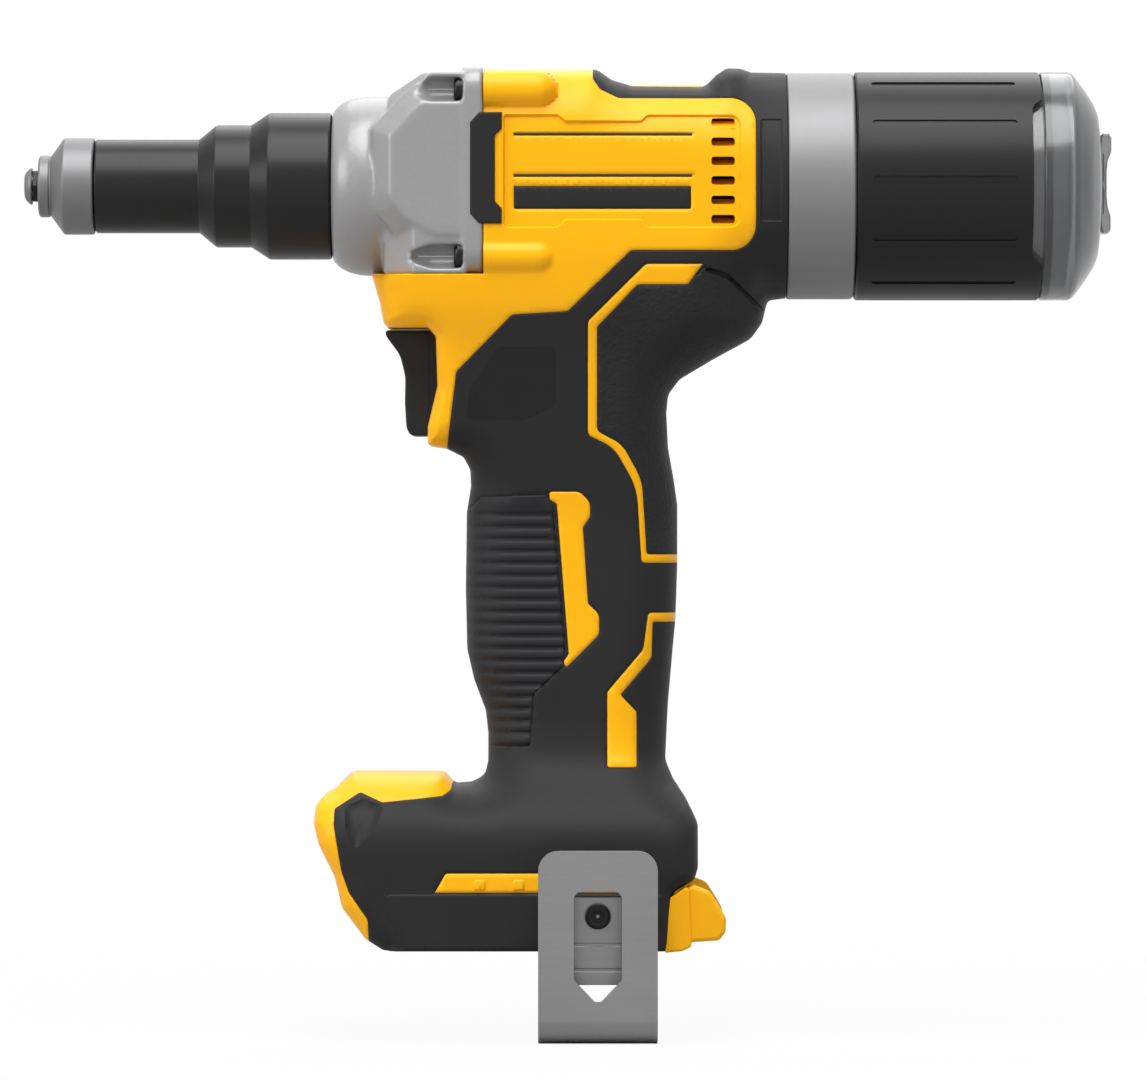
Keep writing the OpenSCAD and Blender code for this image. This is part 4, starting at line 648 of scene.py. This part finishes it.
# The seams between mouldings, drawn in a little.
pairs = np.concatenate([faces[:, [0, 1]], faces[:, [1, 2]], faces[:, [2, 0]]])
paint_of = {}
for k, (a, b) in enumerate(pairs):
    paint_of.setdefault((min(a, b), max(a, b)), []).append(paint[k % len(faces)])
seams = np.array([pair for pair, sides in paint_of.items()
                  if len(sides) == 2 and sides[0] != sides[1] and SMOOTH_PATCH not in sides])
to_seam = nearest(flat, flat[seams[:, 0]], flat[seams[:, 1]])
height -= SEAM_DEPTH * np.clip(1 - to_seam / .5, 0, 1) ** 2

# How far in the rim of each half reaches: the halves meet, but for the two round ends of the body,
# the trigger and the battery slot.
rim = np.full(len(flat), PARTING)
for ends, bore in ((flat_x > 209.8, REAR_BORE), ((flat_x < 131.6) & (flat_z > -24.9), FRONT_BORE)):
    round_rim = np.sqrt(np.maximum(bore ** 2 - flat_z ** 2, 0))
    rim = np.where(ends, np.maximum(rim, round_rim), rim)
TRIGGER_GAP, SLOT_GAP = 11.4, 27
rim[(flat_x > 112.5) & (flat_x < 116.4) & (flat_z > -70.4) & (flat_z < -40.4)] = TRIGGER_GAP
rim[(flat_x > 112) & (flat_z < -211.8)] = SLOT_GAP
rim[(flat_x > 179) & (flat_z < -202.5)] = SLOT_GAP
from_edge = np.clip(edge / WALL, 0, 1)
inner = np.maximum(height - WALL, rim) * from_edge + rim * (1 - from_edge)
inner = np.minimum(inner, height - .05)


def skin(name, triangles, hand):
    """A closed shell over some triangles: outer skin, inner skin, and walls round its borders.
    hand is -1 for the left half and 1 for the right one."""
    used, tri = np.unique(triangles, return_inverse=True)
    tri = tri.reshape(-1, 3)
    count = len(used)
    outer = np.stack([flat_x[used], hand * height[used], flat_z[used]], axis=1)
    under = np.stack([flat_x[used], hand * inner[used], flat_z[used]], axis=1)
    border = {}
    for a, b, c in tri.tolist():
        for p, q in ((a, b), (b, c), (c, a)):
            if (q, p) in border:
                del border[(q, p)]
            else:
                border[(p, q)] = True
    shell = tri.tolist() + [(c + count, b + count, a + count) for a, b, c in tri.tolist()]
    shell += [(q, p, p + count, q + count) for p, q in border]
    if hand > 0:
        shell = [face[::-1] for face in shell]
    mesh = bpy.data.meshes.new(name)
    mesh.from_pydata((np.concatenate([outer, under]) * MM).tolist(), [], [list(f) for f in shell])
    mesh.update()
    piece = bpy.data.objects.new(name, mesh)
    bpy.context.collection.objects.link(piece)
    only(piece)
    bpy.ops.object.shade_smooth_by_angle(angle=math.radians(38))
    return piece


yellow_plastic = finish("yellow_nylon", "FAB30A", (2300, 2300, 2300), .05, .38, .08, .012,
                        shine=.2)
black_rubber = finish("black_rubber", "272728", (1900, 1900, 1900), .16, .52, .1, .02, shine=.12)
pebbled_rubber = finish("pebbled_rubber", "212122", (1100, 1100, 1100), .7, .56, .2, .35,
                        shine=.18)
ribbed_rubber = finish("ribbed_rubber", "28282A", (1700, 1700, 1700), .2, .54, .1, .03, shine=.14)
patch_plastic = finish("patch_rubber", "1F1F20", (1400, 1400, 1400), .3, .55, .1, .06, shine=.12)

in_screw = np.zeros(len(faces), bool)
for loop in screw_loops:
    in_screw |= inside(centres, loop)
for hand, label in ((-1, "left"), (1, "right")):
    open_here = in_screw & (hand > 0)
    for moulding, title, material, slot, replaced in (
            (YELLOW, "housing_shell_", yellow_plastic, "yellow_plastic", "housing_"),
            (RUBBER, "rubber_skin_", black_rubber, "black_rubber", "overmould_"),
            (PEBBLED, "rear_pad_", pebbled_rubber, "black_rubber", None),
            (RIBBED, "rib_pad_", ribbed_rubber, "black_rubber", None),
            (SMOOTH_PATCH, "grip_patch_", patch_plastic, "black_rubber", None)):
        piece = skin(title + label, faces[(paint == moulding) & ~open_here], hand)
        fit(piece, "tool", slot, material, *([replaced + label] if replaced else []))

# ------------------------------------------------------------------ screw wells, top inlay, vents
# The screws that draw the halves together enter from the right, down deep wells moulded in the
# right half. A narrow yellow inlay shows between the rubber cheeks in the dip of the top, and a
# slanted yellow blade behind each vent keeps swarf off the motor.
WELL_R, WELL_END = 3.6, 12.2
well = turned("screw_well", [(0, SCREW_HOLE), (0, WELL_R), (1, WELL_R), (1, SCREW_HOLE),
                             (0, SCREW_HOLE)], 32)
wells = []
for x, z in SCREWS:
    skin_y = max(13, height[np.hypot(flat_x - x, flat_z - z) < WELL_R + .2].min() - .3)
    wells.append(moved(well, (x, WELL_END, z), "screw_well", (0, 0, math.pi / 2),
                       (skin_y - WELL_END, 1, 1)))
bpy.data.objects.remove(well)
wells = joined(wells, "screw_wells")
soften(wells, 0)
fit(wells, "tool", "yellow_plastic", yellow_plastic)

inlay = plate("top_inlay", [(165, 26.2), (168.6, 28), (189.2, 28), (191, 27.2), (191, 24),
                            (165, 24)], -8, 8)
chamfer(inlay, 1.2, lambda x, y, z: z > 26 and (abs(y) > 7.9 or x < 169 or x > 189), 2)
soften(inlay, 0)
fit(inlay, "tool", "yellow_plastic", yellow_plastic)

blade = block("vent_blade", (191.4, -2.2, -.4), (198.5, 2.2, .4))
for hand, label in ((-1, "left"), (1, "right")):
    slant = (math.radians(-30 * hand), 0, 0)
    blades = joined([moved(blade, (0, hand * 25.6, z + .3), "blade", slant) for z in VENT_Z],
                    "vent_blades_" + label)
    soften(blades, .1)
    fit(blades, "tool", "yellow_plastic", yellow_plastic)
bpy.data.objects.remove(blade)

# ------------------------------------------------------------------ side bumpers
# Two hard black plastic inserts, chamfered all round, that snap over the seam between gearcase and
# housing and keep the metal off the bench when the tool lies on its side.
black_plastic = finish("black_nylon", "242425", (1800, 1800, 1800), .18, .44, .1, .015,
                       shine=.15)
BUMPER = [(124.9, 16.4), (127.4, 19.2), (133.8, 19.2), (133.8, 14.7), (131.9, 12.8), (131.9, -5.4),
          (133.8, -7.4), (133.8, -11.6), (127.4, -11.6), (124.9, -8.8)]
for hand, label in ((-1, "left"), (1, "right")):
    bumper = plate("bumper_" + label, BUMPER, *sided(hand, 28.3, 30.8))
    chamfer(bumper, .7, lambda x, y, z: abs(y) > 30.7, 2)
    soften(bumper, 0)
    fit(bumper, "tool", "black_plastic", black_plastic, "side_bumper_" + label)

# ------------------------------------------------------------------ trigger and its well
# The trigger is a moulded black slide with a hollow for the finger and well rounded edges. It runs
# straight back into a well in the housing, lined in black as painted shade for the inside of the
# well.
TRIGGER = [(100.9, -40.5, .5), (101.4, -42.3, 1), (105.2, -47.4, 6), (106.7, -53.4, 9),
           (106.6, -61, 8), (107, -67.8, 2), (108.2, -70, 1.5), (112.8, -70, 1), (120.4, -68.6),
           (120.4, -40.5)]
trigger = plate("trigger_slide_black", traced(TRIGGER, 3)[0], -11, 11)
run_together(trigger, .45)
bpy.ops.object.shade_smooth()
fit(trigger, "trigger_group", "black_plastic", black_plastic, "trigger")


def tray(name, low, high, open_side, thickness):
    """A box between two corners, open where its faces pass the test, with a wall outside it."""
    piece = block(name, low, high)
    bpy.ops.object.mode_set(mode="EDIT")
    pick(piece, "FACE", open_side)
    bpy.ops.mesh.delete(type="FACE")
    bpy.ops.mesh.select_mode(type="VERT")
    bpy.ops.object.mode_set(mode="OBJECT")
    work(piece, "SOLIDIFY", thickness=thickness * MM, offset=1)
    return piece


# The well's black lining is a real wall, but its black stands in for the shade inside the well:
# painted shade.
trigger_well = tray("trigger_well", (113.6, -11.5, -70.3), (127.3, 11.5, -40.3),
                    lambda x, y, z: x < 113.7, .6)
soften(trigger_well, .1)
fit(trigger_well, "tool", "black_plastic", black_plastic)

# ------------------------------------------------------------------ cup ring
# A turned aluminium ring with a fine brushed face, screwed to the back of the housing. It holds
# the bayonet of the collection cup.
brushed_ring = finish("brushed_ring", "7F7F80", (2400, 60, 60), .1, .52, .12, .01,
                      metal=.5, shine=.3)
ring = turned("cup_ring_turned", [
    (212.95, 28), (212.95, 31), (213.3, 31.5), (213.8, 31.6), (230.8, 31.6), (231.4, 31.4),
    (231.8, 30.9), (231.8, 28), (212.95, 28)], 128)
soften(ring, .15)
fit(ring, "tool", "cast_aluminium", brushed_ring, "cup_ring")

# ------------------------------------------------------------------ collection cup
# A smoked polycarbonate cup for the spent mandrels, in a black grip sleeve with twelve long
# grooves. A moulded grip on its end turns the bayonet.
sleeve_black = finish("sleeve_black", "19191A", (1500, 1500, 1500), .2, .38, .08, .012, shine=.2)
sleeve = turned("cup_sleeve_black", [
    (232.1, 30.2), (232.1, 31.4), (232.6, 31.9), (283.1, 31.9), (283.6, 31.5), (283.6, 30.2),
    (232.1, 30.2)], 144)
groove_cut = block("groove_cut", (236.4, -1, 31.45), (276.4, 1, 33))
chamfer(groove_cut, .9, lambda x, y, z: (x < 237 or x > 276) and abs(y) > .9, 3)
GROOVES, FIRST_GROOVE = 12, 29
for k in range(GROOVES):
    turn = (math.radians(FIRST_GROOVE + 360 / GROOVES * k), 0, 0)
    combine(sleeve, moved(groove_cut, (0, 0, 0), "groove", turn), "DIFFERENCE")
bpy.data.objects.remove(groove_cut)
notch = plate("notch", [(280.7, 20.4), (281.4, 21.8), (284.6, 24), (284.6, -23.6), (281.6, -21.6),
                        (280.7, -20.2)], -40, 40)
combine(sleeve, notch, "DIFFERENCE")
soften(sleeve, .18, 40)
fit(sleeve, "cup", "black_plastic", sleeve_black, "cup_sleeve")

smoked = finish("smoked_polycarbonate", "8C8D8F", (400, 400, 400), .06, .2, .05, .01)
smoked_shader = smoked.node_tree.nodes["Principled BSDF"]
smoked_shader.inputs["Transmission Weight"].default_value = .9
smoked_shader.inputs["IOR"].default_value = 1.58
cup = turned("collection_cup_smoked", [
    (218.1, 24.4), (218.1, 26.6), (232.2, 26.6), (232.2, 30), (283.8, 30), (283.9, 31.6),
    (284.2, 31.9), (291.8, 31.9), (292.9, 31.4), (294, 30.2), (296.8, 26.4), (299.1, 22.7),
    (300, 20.4), (300.3, 18.2), (300.3, 16.4), (299.9, 15.9), (299.9, .4), (298.1, .4),
    (298.1, 17.6), (297.3, 20.6), (295.4, 24.2), (293.6, 26.9), (291.9, 28.8), (290.4, 29.6),
    (286.2, 29.6), (284, 27.8), (234.4, 27.8), (234.4, 24.4), (218.1, 24.4)], 128)
soften(cup, .2, 25)
fit(cup, "cup", "smoked_plastic", smoked, "collection_cup")

END_GRIP = [(297, 10), (300.6, 10.4), (301, 14), (301.6, 14.6), (303.2, 14.6), (303.9, 13.4),
            (303.9, 9.6), (302.9, 7), (302.6, 4), (302.6, -3), (302.9, -6), (303.7, -8.6),
            (303.7, -12.2), (303, -13.3), (301.6, -13.3), (301, -12.7), (300.6, -9.2), (297, -8.8)]
end_grip = plate("cup_end_grip_smoked", END_GRIP, -5.5, 5.5)
chamfer(end_grip, .8, lambda x, y, z: abs(y) > 5.4, 2)
for hand in (-1, 1):
    low_y, high_y = sided(hand, 3, 7)
    for low_z, high_z in ((1.4, 9), (-8, -.6)):
        pocket = block("pocket", (298.4, low_y, low_z), (301.7, high_y, high_z))
        combine(end_grip, pocket, "DIFFERENCE")
soften(end_grip, .15, 35)
fit(end_grip, "cup", "smoked_plastic", smoked, "cup_end_grip")

# ------------------------------------------------------------------ battery bay and rail ends
# The foot is open below for a slide battery: a bay with two rails, moulded in yellow nylon with the
# housing halves, and a pair of stepped rail ends that stand out behind the foot.
bay = tray("battery_bay", (110.6, -28.2, -211.5), (180.4, 28.2, -202.5),
           lambda x, y, z: z < -211 or x > 180, 1.3)
rails = []
for hand in (-1, 1):
    low_y, high_y = sided(hand, 23.5, 28.1)
    rail = block("bay_rail", (112.5, low_y, -212.3), (180.4, high_y, -209.4))
    chamfer(rail, .5, lambda x, y, z: abs(y) < 24, 2)
    rails.append(rail)
bay = joined([bay] + rails, "battery_bay")
soften(bay, .2)
fit(bay, "tool", "yellow_plastic", yellow_plastic)

TAB = [(178.9, -212.6), (180.3, -197.9, 1), (186.2, -194, 2), (191.2, -196, 3), (193.6, -199.7, 3),
       (195.7, -203.3, 2), (195.6, -207.2, 2), (193.8, -209.5, 1.5), (186.4, -210, .6),
       (185, -211.8, .6)]
STEP = [(178.9, -212.8), (180.3, -197.6, 1), (185.6, -193.9, 1), (186.2, -211.2, 1),
        (183.5, -212.4, .6)]
for hand, label in ((-1, "left"), (1, "right")):
    ends = []
    for title, outline, near_y, far_y, edge_w in (("tab", TAB, 28.6, 33.4, 1.3),
                                                  ("step", STEP, 28.4, 34.4, .7)):
        end = plate("rail_" + title, traced(outline, 4)[0], *sided(hand, near_y, far_y))
        chamfer(end, edge_w, lambda x, y, z: abs(y) > far_y - .1 and x > 181, 3)
        ends.append(end)
    rail_end = joined(ends, "rail_end_" + label)
    soften(rail_end, 0, 35)
    fit(rail_end, "tool", "yellow_plastic", yellow_plastic)

# ------------------------------------------------------------------ belt hook and its screw
# A strip of brushed sheet steel, pierced with a pointed window and folded into a U, whose short leg
# is screwed to an insert in the foot. A blacked screw holds it.
hook_steel = finish("brushed_sheet_steel", "8C8C8D", (60, 700, 1600), .12, .36, .12, .008,
                    metal=.9, shine=.3)
HOOK_X, HOOK_HALF, HOOK_TOP, LEG_TOP = 160.3, 16.4, -184.1, -197.4
FOLD_Y, FOLD_Z, FOLD_R, FOLD_STEPS = -42.8, -230.5, 5.9, 12
bpy.ops.object.select_all(action="DESELECT")
bpy.ops.mesh.primitive_plane_add(size=1)
hook = bpy.context.object
hook.name = hook.data.name = "belt_hook_strip"
for point, (x, z) in zip(hook.data.vertices,
                         ((-1, LEG_TOP), (1, LEG_TOP), (-1, FOLD_Z), (1, FOLD_Z))):
    point.co = ((HOOK_X + x * HOOK_HALF) * MM, (FOLD_Y + FOLD_R) * MM, z * MM)
bpy.ops.object.mode_set(mode="EDIT")
pick(hook, "EDGE", lambda x, y, z: z < FOLD_Z + .1)
for k in range(FOLD_STEPS):
    here, there = math.pi * k / FOLD_STEPS, math.pi * (k + 1) / FOLD_STEPS
    bpy.ops.mesh.extrude_region_move(TRANSFORM_OT_translate={"value": [
        0, (math.cos(there) - math.cos(here)) * FOLD_R * MM,
        (math.sin(here) - math.sin(there)) * FOLD_R * MM]})
bpy.ops.mesh.extrude_region_move(TRANSFORM_OT_translate={"value": [0, 0, (HOOK_TOP - FOLD_Z) * MM]})
bpy.ops.mesh.select_mode(type="VERT")
bpy.ops.mesh.select_all(action="DESELECT")
mesh = bmesh.from_edit_mesh(hook.data)
for point in mesh.verts:
    point.select_set(point.co.z > (LEG_TOP - .6) * MM)
bmesh.update_edit_mesh(hook.data)
bpy.ops.mesh.bevel(offset=5.6 * MM, segments=8, affect="VERTICES")
bpy.ops.mesh.select_all(action="SELECT")
bpy.ops.mesh.normals_make_consistent(inside=False)
bpy.ops.object.mode_set(mode="OBJECT")
work(hook, "SOLIDIFY", thickness=1.8 * MM, offset=0)
window = [(HOOK_X - 6.56, -195.3, 2.2), (HOOK_X + 6.56, -195.3, 2.2), (HOOK_X + 6.56, -219.5, 1),
          (HOOK_X + .9, -225.5, .8), (HOOK_X - .9, -225.5, .8), (HOOK_X - 6.56, -219.5, 1)]
combine(hook, plate("window", traced(window, 6)[0], -60, FOLD_Y), "DIFFERENCE")
combine(hook, plate("leg_window", [(HOOK_X - 8.86, -221.5), (HOOK_X + 8.86, -221.5),
                                   (HOOK_X + 8.86, -229.8), (HOOK_X - 8.86, -229.8)], FOLD_Y, -30),
        "DIFFERENCE")
for line_z in (-210.4, -217.4):
    combine(hook, block("bend_line", (HOOK_X - 8.6, -38.4, line_z - .45),
                        (HOOK_X + 8.6, -37.2, line_z + .45)), "DIFFERENCE")
soften(hook, .22, 35)
fit(hook, "tool", "hook_steel", hook_steel, "belt_hook")

hook_screw = turned("belt_hook_screw_black", [
    (0, .5), (0, 1.7), (-1.2, 1.7), (-1.2, 2.9), (-.9, 3.5), (.4, 3.6), (.9, 3.6), (.9, .5),
    (0, .5)], 40)
hook_screw.rotation_euler = (0, 0, math.pi / 2)
hook_screw.location = (HOOK_X * MM, -38.8 * MM, -202.6 * MM)
only(hook_screw)
bpy.ops.object.transform_apply(location=True, rotation=True, scale=True)
soften(hook_screw, .12)
fit(hook_screw, "tool", "black_metal", screw_black, "belt_hook_screw")

# ------------------------------------------------------------------ lens and the works inside
# The lamp lens on the pod of the foot is clear acrylic. What the shells hide keeps its plain shape,
# and gets the finish of its own material: steel, brass, copper, laminated iron, plastic, circuit
# board.
clear_acrylic = finish("clear_acrylic", "E8EAEC", (300, 300, 300), .03, .12, .05, .01)
acrylic_shader = clear_acrylic.node_tree.nodes["Principled BSDF"]
acrylic_shader.inputs["Transmission Weight"].default_value = .6
INSIDE = (
    (clear_acrylic, "led_lens"),
    (finish("seal_rubber", "151516", (900, 900, 900), .2, .6, .1, .02), "cup_seal"),
    (finish("circuit_board", "1F5A32", (1200, 1200, 1200), .2, .45, .1, .01), "led_board"),
    (finish("brass", "C9A24A", (900, 900, 900), .12, .32, .1, .006, metal=1),
     "hook_inserts terminals"),
    (finish("copper_wire", "B8693A", (300, 2200, 2200), .2, .35, .12, .03, metal=1),
     "stator_windings"),
    (finish("laminated_iron", "5C5C5E", (3200, 60, 60), .25, .5, .12, .02, metal=.8),
     "stator_core rotor_core rotor_magnets"),
    (screw_black, "gearcase_screws housing_screws"),
    (cast_aluminium, "motor_front_plate motor_rear_plate"),
    (black_plastic, "switch_plunger switch_body rear_cover mandrel_guide control_module "
                    "terminal_block cooling_fan"))
tool_steel = finish("ground_tool_steel", "8B8C8E", (1600, 300, 300), .1, .34, .1, .006, metal=1)
finish_of = {name: material for material, names in INSIDE for name in names.split()}
for name, node in nodes.items():
    node.data.materials.clear()
    node.data.materials.append(finish_of.get(name, tool_steel))

# ------------------------------------------------------------------ camera, light and floor
# The photograph looks square at the left side from about two metres, in soft even light, over a
# white ground. None of this is part of the tool.
VIEW, FRAME_WIDTH, SENSOR = 2.2, .3212, 36
camera_data = bpy.data.cameras.new("camera")
camera_data.sensor_width, camera_data.lens = SENSOR, SENSOR * VIEW / FRAME_WIDTH
camera_data.clip_end = 20
camera = bpy.data.objects.new("camera", camera_data)
camera.location, camera.rotation_euler = (.1536, -VIEW, -.099), (math.pi / 2, 0, 0)
bpy.context.collection.objects.link(camera)
bpy.context.scene.camera = camera
bpy.context.scene.view_settings.view_transform = "Standard"

world = bpy.data.worlds.new("white_room")
bpy.context.scene.world = world
world.use_nodes = True
tree = world.node_tree
backdrop = tree.nodes["Background"]
ray = shader_node(tree, "LightPath")
seen = shader_node(tree, "Math", "MAXIMUM")
seen_too = shader_node(tree, "Math", "MAXIMUM")
level = shader_node(tree, "MapRange", None, {"To Min": .25, "To Max": 1})
link(tree, (ray.outputs["Is Camera Ray"], seen.inputs[0]),
     (ray.outputs["Is Glossy Ray"], seen.inputs[1]),
     (seen.outputs[0], seen_too.inputs[0]),
     (ray.outputs["Is Transmission Ray"], seen_too.inputs[1]),
     (seen_too.outputs[0], level.inputs["Value"]), (level.outputs[0], backdrop.inputs["Strength"]))
backdrop.inputs["Color"].default_value = (1, 1, 1, 1)

for label, place, turn_to, size, power in (
        ("top_light", (.05, -.8, 1.6), (.15, 0, -.05), 1.8, 50),
        ("left_light", (-1.5, -.9, .5), (.12, 0, -.03), 1, 13),
        ("back_light", (.3, 1.2, 1.4), (.15, 0, -.05), 1.8, 16)):
    lamp_data = bpy.data.lights.new(label, "AREA")
    lamp_data.shape, lamp_data.size, lamp_data.energy = "DISK", size, power
    lamp = bpy.data.objects.new(label, lamp_data)
    lamp.location = place
    aim = np.array(turn_to) - np.array(place)
    lamp.rotation_euler = (math.atan2(np.hypot(aim[0], aim[1]), -aim[2]), 0,
                           math.atan2(aim[0], -aim[1]) + math.pi)
    bpy.context.collection.objects.link(lamp)

bpy.ops.object.select_all(action="DESELECT")
bpy.ops.mesh.primitive_circle_add(vertices=96, radius=1.1, location=(.153, 0, -.2375),
                                  fill_type="NGON")
floor = bpy.context.object
floor.name = "floor"
floor_white = bpy.data.materials.new("floor_white")
floor_white.use_nodes = True
tree = floor_white.node_tree
tree.nodes.remove(tree.nodes["Principled BSDF"])
matt = shader_node(tree, "BsdfDiffuse", None, {"Color": (.5, .5, .5, 1)})
glow = shader_node(tree, "Emission")
both = shader_node(tree, "MixShader")
ray = shader_node(tree, "LightPath")
share = shader_node(tree, "Math", "MULTIPLY", {1: .95})
# The floor fades out at its rim, and can't be seen from below.
place = shader_node(tree, "TexCoord")
reach = shader_node(tree, "VectorMath", "LENGTH")
fade = shader_node(tree, "MapRange", None, {"From Min": .35, "From Max": 1.05})
facing = shader_node(tree, "NewGeometry")
unseen = shader_node(tree, "Math", "MAXIMUM")
clear_edge = shader_node(tree, "BsdfTransparent")
ground = shader_node(tree, "MixShader")
link(tree, (ray.outputs["Is Camera Ray"], share.inputs[0]), (share.outputs[0], both.inputs[0]),
     (matt.outputs[0], both.inputs[1]), (glow.outputs[0], both.inputs[2]),
     (place.outputs["Object"], reach.inputs[0]), (reach.outputs["Value"], fade.inputs["Value"]),
     (fade.outputs[0], unseen.inputs[0]), (facing.outputs["Backfacing"], unseen.inputs[1]),
     (unseen.outputs[0], ground.inputs[0]), (both.outputs[0], ground.inputs[1]),
     (clear_edge.outputs[0], ground.inputs[2]),
     (ground.outputs[0], tree.nodes["Material Output"].inputs["Surface"]))
floor.data.materials.append(floor_white)
